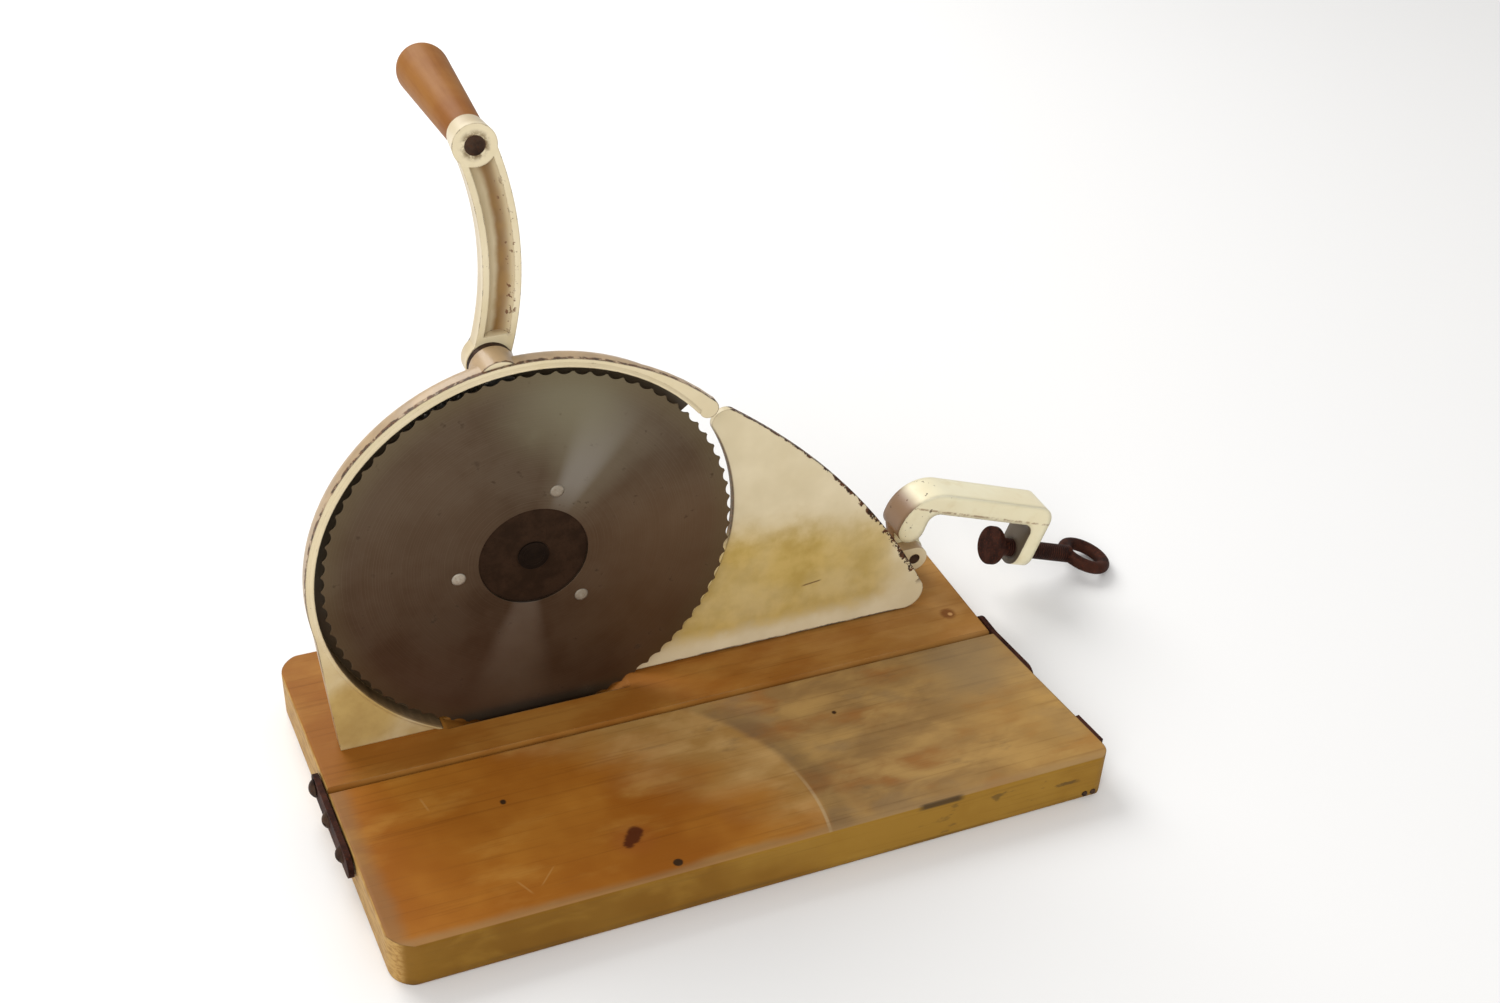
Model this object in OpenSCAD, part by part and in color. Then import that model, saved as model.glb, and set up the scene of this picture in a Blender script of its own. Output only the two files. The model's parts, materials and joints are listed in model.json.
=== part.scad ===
// Hand crank bread slicer on a folding wooden board. Sizes in millimetres.
// X runs left to right, Y from the front to the back, Z up.
// The origin is the centre of the rear board's underside.

/* [Boards] */
// Length of the rear board along the seam
rear_length = 337; // [334:0.5:342]
// Depth of the rear board
rear_depth = 99; // [97:0.5:104]
// Thickness of both boards
board_thick = 24; // [23:0.5:26]
// Depth of the hinged front board
leaf_depth = 99.4; // [90:0.2:110]
// Skew of the boards' left ends, back corner to front corner
left_skew = 9.8; // [0:0.2:12]
// Extra length of the front board's slanted right end at its front edge
leaf_flare = 10; // [4:0.5:12]
// Radius of the rear board's upright corners
corner_r = 14; // [6:0.5:18]
// Radius of the front board's left front corner
leaf_left_r = 14; // [6:0.5:18]
// Radius of the front board's right front corner
leaf_corner_r = 7.5; // [4:0.5:10]
// Radius of the worn board edges
edge_r = 1.6; // [0.8:0.1:2.5]
// Gap between the two boards
seam_gap = 0.6; // [0.5:0.1:1]
// Width of the blade slot in the rear board
slot_w = 7.5; // [6:0.5:9]

/* [Hinge] */
// Distance of the pivot behind the rear board's front face
pivot_back = 11; // [10:0.5:13]
// Width of the hinge straps, which is also their depth on the board ends
strap_w = 13; // [11:0.5:14]
// Thickness of the hinge straps
strap_t = 2.5; // [2:0.1:3]
// Length of the left strap, pivot to the front end's centre
left_strap = 50; // [46:1:56]
// Length of the right strap, pivot to the front end's centre
right_strap = 38.5; // [36:0.5:44]
// Radius of the pivot screw's shank
pivot_r = 2.6; // [2.2:0.1:3]
// Length of the catch plate on the front board's right end
catch_len = 19; // [14:0.5:24]

/* [Blade] */
// Blade axis, from the rear board's centre, to the right
blade_x = -63.1; // [-66:0.1:-61]
// Dip of the blade's edge below the top of the board
blade_dip = 8.5; // [6.5:0.25:9]
// Radius of the blade at its tooth tips
blade_r = 95; // [94:0.25:95.5]
// Thickness of the blade
blade_t = 1.2; // [1:0.1:1.3]
// Number of scallops in the blade's edge
teeth = 76; // [60:1:90]
// Depth of each scallop
tooth_depth = 1.5; // [1.2:0.1:2.2]
// Radius of the blade's middle opening
eye_r = 25.5; // [22:0.5:28]
// Radius of the rivet circle
rivet_ring = 35; // [32:0.5:37]

/* [Frame] */
// Distance of the frame's front plane behind the rear board's front face
face_back = 24.2; // [22:0.2:26]
// Gap between the blade's teeth and the rim of the dish
rim_gap = 3.3; // [3:0.1:3.5]
// Thickness of the rim of the dish
rim_t = 3.6; // [3.4:0.1:4.4]
// Depth of the dish, front plane to web
dish_depth = 9.4; // [9.2:0.1:9.8]
// Thickness of the web
web_t = 3.6; // [3:0.1:4]
// Radius of the dish's rear shoulder
shoulder_r = 8; // [6:0.5:9]
// Right end of the leg's foot line, left of the blade axis
leg_right = 42; // [36:0.5:44]
// Left end of the leg's foot line, inside the dish's outer radius
leg_set = 7.6; // [5:0.1:11]
// Extra radius of the nose at the dish's right end
nose_rise = 5.6; // [3:0.2:7]
// Angle of the nose's tip above level
nose_deg = 37.5; // [34:0.5:45]

/* [Crank] */
// Crank axis left of the blade axis
crank_left = 12.2; // [11:0.2:13]
// Crank axis below the top of the blade
crank_drop = 1.5; // [0.8:0.1:2]
// Radius of the crank boss
boss_r = 10.2; // [9.8:0.1:11]
// Crank radius, shaft to handle pin
throw = 99; // [92:1:105]
// Lean of the crank from upright
throw_deg = 1.3; // [-5:0.1:5]
// Width of the crank arm
arm_w = 16.4; // [14:0.2:18]
// Bulge of the curved crank arm
arm_bow = 8; // [6:0.5:10]
// Depth of the crank arm
arm_t = 8; // [7:0.2:9]
// Radius of the handle's bulb
bulb_r = 11.4; // [10:0.2:13]
// Length of the wooden grip
grip_len = 80; // [74:1:90]

/* [Gears] */
// Gear module
gear_m = 1.25; // [1.2:0.01:1.27]
// Teeth of the crank pinion
pinion_n = 10; // [10:1:10]
// Teeth of the driven gear on the blade spindle
driven_n = 24; // [24:1:25]
// Gap between the flanks of meshing teeth
flank_gap = 0.3; // [0.24:0.02:0.4]

/* [Fence] */
// Front face of the fence behind the frame's front plane
fence_y = 7.4; // [7:0.1:8]
// Thickness of the fence plate
fence_t = 3; // [2.5:0.1:3.2]
// Gap between the blade's teeth and the fence's hollow edge
fence_gap = 3.5; // [3:0.1:5]
// Radius of the fence's long slanted edge
slant_r = 364.3; // [300:0.1:450]
// Angle of the fence's tip above level, from the blade axis
tip_deg = 27.6; // [25:0.1:29]
// Right end of the fence, left of the clamp pivot
fence_short = 4.8; // [3:0.2:10]
// Gap between the fence and the board
fence_lift = 1; // [0.6:0.1:2]
// Radius of the guide rods
rod_r = 4; // [3.5:0.1:4.5]

/* [Clamp] */
// Clamp pivot inside the rear board's right end
lug_in = 19.4; // [18:0.2:21]
// Clamp pivot above the board
lug_up = 14.8; // [14:0.2:16]
// Radius of the lug round the clamp pivot
lug_r = 7.2; // [6.5:0.1:8]
// Depth of the clamp arm
clamp_t = 18; // [16:0.5:19]
// Clamp pivot to the inner side of the bar
bar_in = 28.9; // [26:0.2:32]
// Width of the clamp bar
bar_w = 11.4; // [10:0.2:13]
// Clamp pivot to the inner side of the screw leg
leg_in = 64.7; // [62:0.2:68]
// Width of the screw leg
leg_w = 9.5; // [8.5:0.2:11]
// Radius of the clamp screw
screw_r = 4.8; // [4.2:0.1:5.2]
// Radius of the clamp pad
pad_r = 10.4; // [9.4:0.2:12]
// Radius of the eye handle, to the middle of its wire
eye_ring = 11.8; // [11:0.2:13]
// Radius of the eye handle's wire
wire_r = 3.5; // [3:0.1:3.8]

/* [Hidden] */
$fn = 96;
wood = [0.66, 0.47, 0.27];
grip_wood = [0.72, 0.48, 0.25];
cream = [0.87, 0.82, 0.66];
steel = [0.36, 0.33, 0.30];
dark = [0.22, 0.18, 0.15];
bright = [0.55, 0.54, 0.52];

// clearances
run = 0.05;
apart = 0.4;
over = 1;
bite = 0.05;

// blade, dish and crank places
blade_z = board_thick + blade_r - blade_dip;
dish_in = blade_r + rim_gap;
dish_r = dish_in + rim_t;
leg_left = dish_r - leg_set;
crank_up = blade_r - crank_drop;

// board places
rear_left = -rear_length / 2;
rear_right = rear_length / 2;
rear_front = -rear_depth / 2;
leaf_back = rear_front - seam_gap;
leaf_front = leaf_back - leaf_depth;
skew_deg = atan2(left_skew, rear_depth + seam_gap + leaf_depth);
leaf_right = rear_right + apart;
slant_deg = atan2(leaf_flare, leaf_depth);
face_y = rear_front + face_back;

// hinge places
pivot_y = rear_front + pivot_back;
pivot_z = board_thick - strap_w / 2;
relief_r = pivot_back - apart / 2;
strap_gap = 0.9;
pivot_x = rear_left - pivot_back * tan(skew_deg) - strap_gap;
strap_screw_r = 2;
strap_head_r = 4;
dome_h = 2.6;
dome_r = 4.4;
slot_deep = 0.45;
slot_wide = 0.26;
screw_depth = 18;
left_screws_at = [21.5, 44];
right_screws_at = [17, 33.5];
catch_in = 19.9;
catch_at = leaf_depth - catch_in;
catch_screw_step = 5.7;
catch_t = 2;
catch_h = 12;
catch_screw_r = 1.4;
tack_r = 1.5;
tack_len = 8;
tack_in = [0.5, 5];
tack_dome = 1.2;

// depth layers behind the frame's front plane
slot_front = -2;
slot_clear = 2.6;
blade_y = 1.8;
carrier_y = blade_y + blade_t;
carrier_t = 1.4;
gear_y = 5;
gear_t = 4;
web_y = dish_depth;
web_mid = dish_depth + web_t / 2;
web_back = dish_depth + web_t;
boss_end = 14.8;
washer_t = 2.8;
arm_y = boss_end + apart + washer_t;
hub_end = 15.6;
collar_t = 1.6;
washer_front = carrier_y - 0.9;

// blade edge
bevel_w = 9;
edge_t = 0.5;
tooth_land = 0.12;

// nose, by angles above level
nose_from = 68;
nose_steps = 6;
nose_t = 4.4;

// gear places, from the blade axis
crank_x = -crank_left;
crank_dist = norm([crank_left, crank_up]);
idler_slack = 4.4;
idler_n = ceil((crank_dist + idler_slack) / gear_m - (driven_n + pinion_n) / 2);
pinion_pitch = gear_m * pinion_n / 2;
idler_pitch = gear_m * idler_n / 2;
driven_pitch = gear_m * driven_n / 2;
crank_dir = atan2(crank_up, crank_x);
reach_a = driven_pitch + idler_pitch;
reach_b = idler_pitch + pinion_pitch;
bend = acos((crank_dist * crank_dist + reach_a * reach_a - reach_b * reach_b) / (2 * crank_dist * reach_a));
idler_dir = crank_dir + bend;
idler_x = reach_a * cos(idler_dir);
idler_up = reach_a * sin(idler_dir);
pinion_dir = atan2(crank_up - idler_up, crank_x - idler_x);
idler_turn = idler_dir + 180 - (180 - driven_n * idler_dir) / idler_n;
pinion_turn = pinion_dir + 180 - (180 - idler_n * (pinion_dir - idler_turn)) / pinion_n;
press_deg = 25;
tooth_up = 0.8 * gear_m;
tooth_down = 1.05 * gear_m;
flank_steps = 3;
idler_holes = 5;
idler_hole_at = 0.58 * idler_pitch;
idler_hole_r = 0.19 * idler_pitch;

// shafts
spindle_r = 6;
journal_r = 8;
tail_r = 5;
collar_r = 12;
hub_r = 17;
end_washer_r = 7.2;
stud_r = 4;
stud_head_r = 7;
shaft_r = 3;
shaft_journal = 5;
pocket_r = 8.2;
washer_r = 10.1;
arm_hub_r = 10.4;
crank_nut_r = 8.5;
crank_nut_t = 5;
rivet_r = 2.5;
rivet_head = 3.3;
rivet_head_h = 0.3;
rivet_turns = [71, 187, 309];
carrier_r = 42;

// crank arm and handle
pin_x = -throw * sin(throw_deg);
pin_up = throw * cos(throw_deg);
bow_r = (throw * throw / 4 + arm_bow * arm_bow) / (2 * arm_bow);
end_boss_r = 9.3;
end_boss_rear = 8.2;
end_boss_t = 12;
channel_r = 5.4;
channel_out = 0.6;
channel_start = arm_hub_r + 2.4;
pin_r = 4.3;
pin_core = 3.8;
pin_head = 5.6;
pin_head_t = 2.5;
neck_r = 7.7;
grip_y = arm_y + end_boss_t + apart;
bulb_y = grip_y + grip_len - bulb_r;

// clamp pivot, from the blade axis
lug_x = rear_right - lug_in - blade_x;
lug_z = board_thick + lug_up;

// fence
tip_r = 6.8;
corner_round = 10;
fence_in = blade_r + fence_gap;
fence_low = board_thick + fence_lift;
tip_far = fence_in + tip_r - bite;
tip_at = [tip_far * cos(tip_deg), blade_z + tip_far * sin(tip_deg)];
tip_hollow = [fence_in * cos(tip_deg), blade_z + fence_in * sin(tip_deg)];
corner_at = [lug_x - fence_short - corner_round, fence_low + corner_round - bite];
tip_reach = slant_r - tip_r + bite;
corner_reach = slant_r - corner_round + bite;
tip_corner = norm(corner_at - tip_at);
reach_off = tip_reach * tip_reach - corner_reach * corner_reach;
slant_along = (reach_off / tip_corner + tip_corner) / 2;
slant_off = sqrt(tip_reach * tip_reach - slant_along * slant_along);
slant_unit = (corner_at - tip_at) / tip_corner;
slant_at = tip_at + slant_along * slant_unit + slant_off * [slant_unit[1], -slant_unit[0]];
tip_slant = slant_at + (tip_at - slant_at) * slant_r / tip_reach;
corner_slant = slant_at + (corner_at - slant_at) * slant_r / corner_reach;
outset = 0.1;
rods_x = [112, 160];
rod_z = board_thick + lug_up;
flange_r = 7;
flange_t = 1.5;
guide_r = 8;
guide_y = [19.4, 40];
rod_end = 50;

// frame rail and feet, from the blade axis and the front plane
rail_y = [27, 34];
frame_low = board_thick - over;
foot_t = 5;
foot_in = 4.3;
foot_w = 34;
foot_left = foot_in - leg_left;
foot_right = foot_left + foot_w;
foot_back = 46;
rail_lap = 4;
rail_left = foot_right - rail_lap;
block_past = 6;
block_right = block_past - leg_right;
post_reach = 44;
post_w = 18;
post_left = lug_x - post_reach;
post_right = post_left + post_w;
post_back = 64;
gusset_t = 4;
gusset_h = 30;
gusset_in = 6;
gusset_x = foot_left + gusset_in;
left_screws_in = [15, 26];
left_screws_back = [34, 40];
right_screws_back = [44, 56];
left_screws = [for (i = [0, 1]) [foot_left + left_screws_in[i], left_screws_back[i]]];
right_screws = [for (y = right_screws_back) [post_left + post_w / 2, y]];
web_edge = [-6, hub_r + 3];
web_low = -24;
web_tuck = 1.5;
flange_w = 11.5;
web_turn = nose_deg + web_tuck;
leg_tuck = 0.5;
leg_depth = 9;
leg_lean = atan2(dish_r - leg_tuck - leg_left, blade_z - board_thick);
wood_screw_r = 2.2;
wood_head_r = 4.5;
wood_head_h = 2.4;
wood_screw_len = 18;
lock_r = 3;
lock_boss_r = 6;
lock_boss_h = 13;
lock_boss_top = rod_z + lock_boss_h;
lock_y = 30;
lock_head_r = 6.5;
lock_head_h = 4;
wing_span = 26;
wing_t = 3;
wing_h = 10;
wing_dip = 3;
wing_dip_r = 8;

// clamp, from its pivot, before the tilt that brings the eye handle to the table
near_left = -18.3;
near_right = -3.3;
near_round = 7.5;
near_end = 9.9;
eye_boss_r = 8;
eye_inside = 0.9 * eye_boss_r;
eye_turns = [20, 220];
clamp_pin_r = 3;
clamp_pin_head = 6;
clamp_pin_head_t = 2.4;
clamp_front = 26;
clamp_y = [clamp_front, clamp_front + clamp_t];
clamp_mid = clamp_front + clamp_t / 2;
eye_y = rail_y[1] + apart;
axis_v = 8.9;
bar_out = bar_in + bar_w;
leg_out = leg_in + leg_w;
outer_left = 21;
outer_right = 9;
inner_round = 6;
leg_round = clamp_t / 2;
pad_at = 50.4;
pad_t = 2.6;
pad_cone_end = 57;
neck_end = 60.6;
pad_neck_r = 5;
pad_back_r = 8.5;
tip_pin_r = 3;
tip_start = 52.4;
screw_start = neck_end + apart;
eye_mid = 117.2;
eye_far = eye_mid + eye_ring;
clamp_tilt = asin((lug_z - wire_r - outset) / norm([eye_far, axis_v])) + atan2(axis_v, eye_far);

// shared helpers

// moves to the blade axis line and the frame's front plane
module machine() translate([blade_x, face_y, 0]) children();

// raises a flat outline drawn in X and Z into a plate from y0 to y1
module slab(y0, y1) translate([0, y1, 0]) rotate([90, 0, 0]) linear_extrude(height = y1 - y0) children();

// raises a flat outline drawn in Y and Z into a plate from x0 to x1
module side_slab(x0, x1)
  translate([x0, 0, 0]) rotate([90, 0, 90]) linear_extrude(height = x1 - x0) children();

module rod_y(x, z, r, y0, y1) translate([x, y1, z]) rotate([90, 0, 0]) cylinder(h = y1 - y0, r = r);

module rod_x(y, z, r, x0, x1) translate([x0, y, z]) rotate([0, 90, 0]) cylinder(h = x1 - x0, r = r);

module rod_z(x, y, r, z0, z1) translate([x, y, z0]) cylinder(h = z1 - z0, r = r);

module round_square(low, high, r) {
  translate([low[0] + r, low[1]]) square([high[0] - low[0] - 2 * r, high[1] - low[1]]);
  translate([low[0], low[1] + r]) square([high[0] - low[0], high[1] - low[1] - 2 * r]);
  for (x = [low[0] + r, high[0] - r])
    for (y = [low[1] + r, high[1] - r])
      translate([x, y]) circle(r = r);
}

// what a rounded corner takes off, between the directions a and b in which its sides face
module corner_off(mid, r, a, b) translate(mid) difference() {
  polygon([
    [0, 0],
    2 * r * [cos(a), sin(a)],
    3 * r * [cos((a + b) / 2), sin((a + b) / 2)],
    2 * r * [cos(b), sin(b)]
  ]);
  circle(r = r);
}

// a domed screw head on the plane x = 0, rising to +X
module dome(r, h) rotate([0, 90, 0]) rotate_extrude() {
  ball = (r * r + h * h) / (2 * h);
  intersection() {
    translate([0, h - ball]) circle(r = ball);
    square([r, h]);
  }
}

// a slotted round-head screw on the plane x = 0, its shank running to -X
module round_screw(head_r, head_h, shank_r, shank_len) {
  difference() {
    dome(head_r, head_h);
    translate([head_h * (1 - slot_deep), -head_r - over, -head_r * slot_wide / 2])
      cube([head_h, 2 * head_r + 2 * over, head_r * slot_wide]);
  }
  rod_x(0, 0, shank_r, -shank_len, 0);
}

// places for the hinge hardware

module at_left_pivot()
  translate([pivot_x - strap_t - apart, pivot_y, pivot_z]) mirror([1, 0, 0]) children();

module at_right_pivot() translate([leaf_right + strap_t + apart, pivot_y, pivot_z]) children();

// the skewed left ends: distances run from the seam's rear side to the front
module on_skew(d)
  translate([rear_left, rear_front, 0]) rotate([0, 0, skew_deg]) translate([0, -d, 0]) children();

module at_left_strap(d)
  on_skew(d - pivot_back) translate([-strap_gap - strap_t, 0, pivot_z]) mirror([1, 0, 0]) children();

// the slanted right end: +X points out of it, distances run from the seam to the front
module on_slant(d)
  translate([leaf_right, leaf_back, 0]) rotate([0, 0, slant_deg]) translate([0, -d, 0]) children();

module at_right_strap(d) on_slant(d - pivot_back - seam_gap) translate([strap_t, 0, pivot_z]) children();

module at_strap_screws() {
  for (d = left_screws_at)
    at_left_strap(d) children();
  for (d = right_screws_at)
    at_right_strap(d) children();
}

module at_catch_screws()
  for (s = [-1, 1])
    on_slant(catch_at + s * catch_screw_step) translate([catch_t, 0, board_thick - catch_h / 2]) children();

module strap_outline(len) {
  for (d = [0, len])
    translate([pivot_y - d, pivot_z]) circle(r = strap_w / 2);
  translate([pivot_y - len, pivot_z - strap_w / 2]) square([len, strap_w]);
}

// boards

module rear_profile() difference() {
  round_square([rear_front, 0], [-rear_front, board_thick], edge_r);
  difference() {
    translate([rear_front - over, pivot_z]) square([pivot_back + over, strap_w]);
    translate([pivot_y, pivot_z]) circle(r = relief_r);
    translate([pivot_y - relief_r, pivot_z - over]) square([over, over]);
  }
}

// a skewed slab with worn edges that ends the boards on the left
module left_end() translate([rear_left, rear_front, 0]) rotate([0, 0, skew_deg])
  slab(-2 * leaf_depth, 2 * rear_depth) round_square([0, 0], [2 * rear_length, board_thick], edge_r);

module rear_plan() {
  back = -rear_front;
  left_mid = [
    rear_left - (rear_depth - corner_r) * tan(skew_deg) + corner_r / cos(skew_deg),
    back - corner_r
  ];
  difference() {
    translate([rear_left - left_skew - over, rear_front - over])
      square([rear_length + left_skew + 2 * over, rear_depth + 2 * over]);
    corner_off(left_mid, corner_r, 90, 180 + skew_deg);
    corner_off([rear_right - corner_r, back - corner_r], corner_r, 0, 90);
  }
}

module frame_screw_places() {
  for (p = left_screws)
    machine() translate([p[0], p[1], board_thick + foot_t]) children();
  for (p = right_screws)
    machine() translate([p[0], p[1], board_thick + foot_t]) children();
}

module rear_board() color(wood) difference() {
  intersection() {
    linear_extrude(height = board_thick) rear_plan();
    left_end();
    side_slab(rear_left - left_skew - over, rear_right + over) rear_profile();
    slab(rear_front - over, over - rear_front)
      round_square([-rear_length, 0], [rear_right, board_thick], edge_r);
  }
  machine() rod_y(0, blade_z, blade_r + slot_clear, slot_front, slot_front + slot_w);
  at_left_pivot() rod_x(0, 0, pivot_r, -screw_depth, 0);
  at_right_pivot() rod_x(0, 0, pivot_r, -screw_depth, 0);
  frame_screw_places() rod_z(0, 0, wood_screw_r, -wood_screw_len, 0);
}

module leaf_plan() {
  seam_left = rear_left + seam_gap * tan(skew_deg);
  left_mid = [
    seam_left + (leaf_depth - leaf_left_r) * tan(skew_deg) + leaf_left_r / cos(skew_deg),
    leaf_front + leaf_left_r
  ];
  right_mid = [
    leaf_right + leaf_flare * (1 - leaf_corner_r / leaf_depth) - leaf_corner_r / cos(slant_deg),
    leaf_front + leaf_corner_r
  ];
  difference() {
    polygon([
      [seam_left - over, leaf_back + over],
      [leaf_right - over * tan(slant_deg), leaf_back + over],
      [leaf_right + leaf_flare + over * tan(slant_deg), leaf_front - over],
      [seam_left - over, leaf_front - over]
    ]);
    corner_off(left_mid, leaf_left_r, 180 + skew_deg, 270);
    corner_off(right_mid, leaf_corner_r, 270, 360 + slant_deg);
  }
}

module front_board() color(wood) difference() {
  intersection() {
    linear_extrude(height = board_thick) leaf_plan();
    left_end();
    side_slab(rear_left - 2 * over, leaf_right + 2 * leaf_flare)
      round_square([leaf_front, 0], [leaf_back, board_thick], edge_r);
  }
  at_strap_screws() rod_x(0, 0, strap_screw_r, -screw_depth, 0);
  at_catch_screws() rod_x(0, 0, catch_screw_r, -screw_depth, 0);
  tack_places() rod_y(0, 0, tack_r / 2, 0, tack_len);
}

// hinge hardware

module strap_left() color(dark) difference() {
  union() {
    intersection() {
      on_skew(0) translate([-strap_gap - strap_t, -2 * left_strap, 0])
        cube([strap_t, 3 * left_strap, board_thick]);
      side_slab(rear_left - 2 * strap_w, rear_left + strap_w) strap_outline(left_strap);
    }
    for (d = left_screws_at)
      at_left_strap(d) rod_x(0, 0, strap_head_r, -strap_t - strap_gap, -strap_t / 2);
  }
  at_left_pivot() rod_x(0, 0, pivot_r + run, -strap_t - 2 * over, 2 * over);
  for (d = left_screws_at)
    at_left_strap(d) rod_x(0, 0, strap_screw_r, -strap_t - 2 * over, over);
}

module strap_right_plan() {
  far = right_strap + strap_w;
  polygon([
    [leaf_right, pivot_y + strap_w],
    [leaf_right, leaf_back],
    [leaf_right + far * tan(slant_deg), leaf_back - far],
    [leaf_right + far * tan(slant_deg) + strap_t / cos(slant_deg), leaf_back - far],
    [leaf_right + strap_t, leaf_back + strap_t * tan(slant_deg / 2)],
    [leaf_right + strap_t, pivot_y + strap_w]
  ]);
}

module strap_right() color(dark) difference() {
  intersection() {
    linear_extrude(height = board_thick + over) strap_right_plan();
    side_slab(leaf_right - over, leaf_right + leaf_flare + strap_w) strap_outline(right_strap);
  }
  at_right_pivot() rod_x(0, 0, pivot_r + run, -strap_t - 2 * over, over);
  for (d = right_screws_at)
    at_right_strap(d) rod_x(0, 0, strap_screw_r, -strap_t - over, over);
}

module pivot_screws() color(dark) {
  at_left_pivot() {
    dome(dome_r, dome_h);
    rod_x(0, 0, pivot_r, -screw_depth, 0);
  }
  at_right_pivot() {
    dome(dome_r, dome_h);
    rod_x(0, 0, pivot_r, -screw_depth, 0);
  }
}

module strap_screws() color(dark)
  at_strap_screws() round_screw(strap_head_r, dome_h, strap_screw_r, screw_depth);

module catch_plate() color(dark) difference() {
  on_slant(catch_at)
    translate([0, -catch_len / 2, board_thick - catch_h]) cube([catch_t, catch_len, catch_h]);
  at_catch_screws() rod_x(0, 0, catch_screw_r, -catch_t - over, over);
}

module catch_screws() color(dark)
  at_catch_screws() round_screw(catch_screw_r * 2, catch_screw_r, catch_screw_r, screw_depth);

module tack_places()
  for (d = tack_in)
    translate([leaf_right + leaf_flare - leaf_corner_r - d, leaf_front, tack_r + edge_r]) children();

module leaf_tacks() color(dark) tack_places() {
  rotate([0, 0, -90]) dome(tack_r, tack_dome);
  rod_y(0, 0, tack_r / 2, 0, tack_len);
}

// frame

module dish_section() difference() {
  union() {
    square([dish_r - shoulder_r, web_back]);
    square([dish_r, web_back - shoulder_r]);
    translate([dish_r - shoulder_r, web_back - shoulder_r]) circle(r = shoulder_r);
  }
  translate([-over, -over]) square([dish_in + over, web_y + over]);
}

module leg_outline(left) polygon([
  [-dish_r - left, blade_z],
  [-leg_left - left, board_thick],
  [-leg_left - left, frame_low],
  [-leg_right, frame_low],
  [0, blade_z]
]);

// part of the dish that is there: its left half past the hub, and a flange along the rim to the nose
module web_region() {
  polygon([
    [-dish_r - over, frame_low],
    [web_low, frame_low],
    [web_edge[0], blade_z - hub_r],
    [web_edge[1], blade_z - hub_r / 2],
    [web_edge[1], blade_z + 2 * dish_r],
    [-dish_r - over, blade_z + 2 * dish_r]
  ]);
  difference() {
    translate([0, blade_z]) polygon([
      [0, 0],
      [0, 2 * dish_r],
      2 * dish_r * [cos(web_turn), sin(web_turn)]
    ]);
    translate([0, blade_z]) circle(r = dish_in - flange_w);
  }
}

function nose_r(s) = dish_r + nose_rise * pow(s, 1.5);
function nose_turn(s) = nose_from + (nose_deg - nose_from) * s;

module nose_outline() {
  difference() {
    translate([0, blade_z]) polygon(concat(
      [[0, 0]],
      [for (i = [0:nose_steps]) nose_r(i / nose_steps) * [
        cos(nose_turn(i / nose_steps)),
        sin(nose_turn(i / nose_steps))
      ]]
    ));
    translate([0, blade_z]) circle(r = (dish_in + dish_r) / 2);
  }
  nose_mid = (dish_in + dish_r + nose_rise) / 2;
  translate([nose_mid * cos(nose_deg), blade_z + nose_mid * sin(nose_deg)])
    circle(r = (dish_r + nose_rise - dish_in) / 2);
}

// the leg's outline outside the middle of the dish's wall
module leg_area(left) difference() {
  leg_outline(left);
  translate([0, blade_z]) circle(r = (dish_in + dish_r) / 2);
}

module frame_shell() {
  intersection() {
    translate([0, 0, blade_z]) rotate([-90, 0, 0]) rotate_extrude() dish_section();
    slab(-over, web_back + over) web_region();
  }
  slab(0, nose_t) nose_outline();
  slab(0, web_t) leg_area(-web_t / 2);
  intersection() {
    slab(0, leg_depth) leg_area(over);
    translate([-leg_left, -over, board_thick]) rotate([0, -leg_lean, 0])
      translate([0, 0, -2 * shoulder_r]) cube([web_t, leg_depth + 2 * over, dish_r + 2 * shoulder_r]);
  }
}

module frame_bosses() {
  rod_y(0, blade_z, hub_r, web_mid, hub_end);
  rod_y(idler_x, blade_z + idler_up, hub_r / 2, web_mid, hub_end - over);
  difference() {
    rod_y(crank_x, blade_z + crank_up, boss_r, over, boss_end);
    rod_y(0, blade_z, dish_in, -over, web_y);
  }
}

module frame_foot() {
  difference() {
    translate([foot_left, web_t / 2, frame_low])
      cube([foot_right - foot_left, foot_back - web_t / 2, board_thick + foot_t - frame_low]);
    translate([foot_left, foot_back, board_thick]) rotate([0, 0, 45]) cube(3 * foot_t, center = true);
  }
  side_slab(gusset_x, gusset_x + gusset_t) polygon([
    [web_t / 2, board_thick + over],
    [foot_back - 2 * foot_t, board_thick + over],
    [foot_back - 2 * foot_t, board_thick + foot_t + over],
    [web_t / 2, board_thick + gusset_h]
  ]);
  translate([rail_left, web_mid, frame_low])
    cube([block_right - rail_left, rail_y[1] - web_mid, lug_z + lug_r - frame_low]);
}

module frame_rail() {
  slab(rail_y[0], rail_y[1]) {
    translate([block_right - over, lug_z - lug_r]) square([lug_x - block_right + over, 2 * lug_r]);
    translate([lug_x, lug_z]) circle(r = lug_r);
    translate([post_left, frame_low]) square([post_w, lug_z - frame_low]);
  }
  for (x = rods_x)
    rod_y(x, rod_z, guide_r, guide_y[0], guide_y[1]);
  rod_z(rods_x[0], lock_y, lock_boss_r, rod_z, lock_boss_top);
  translate([post_left, rail_y[0] + over, frame_low])
    cube([post_w, post_back - rail_y[0] - over, board_thick + foot_t - frame_low]);
}

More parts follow.
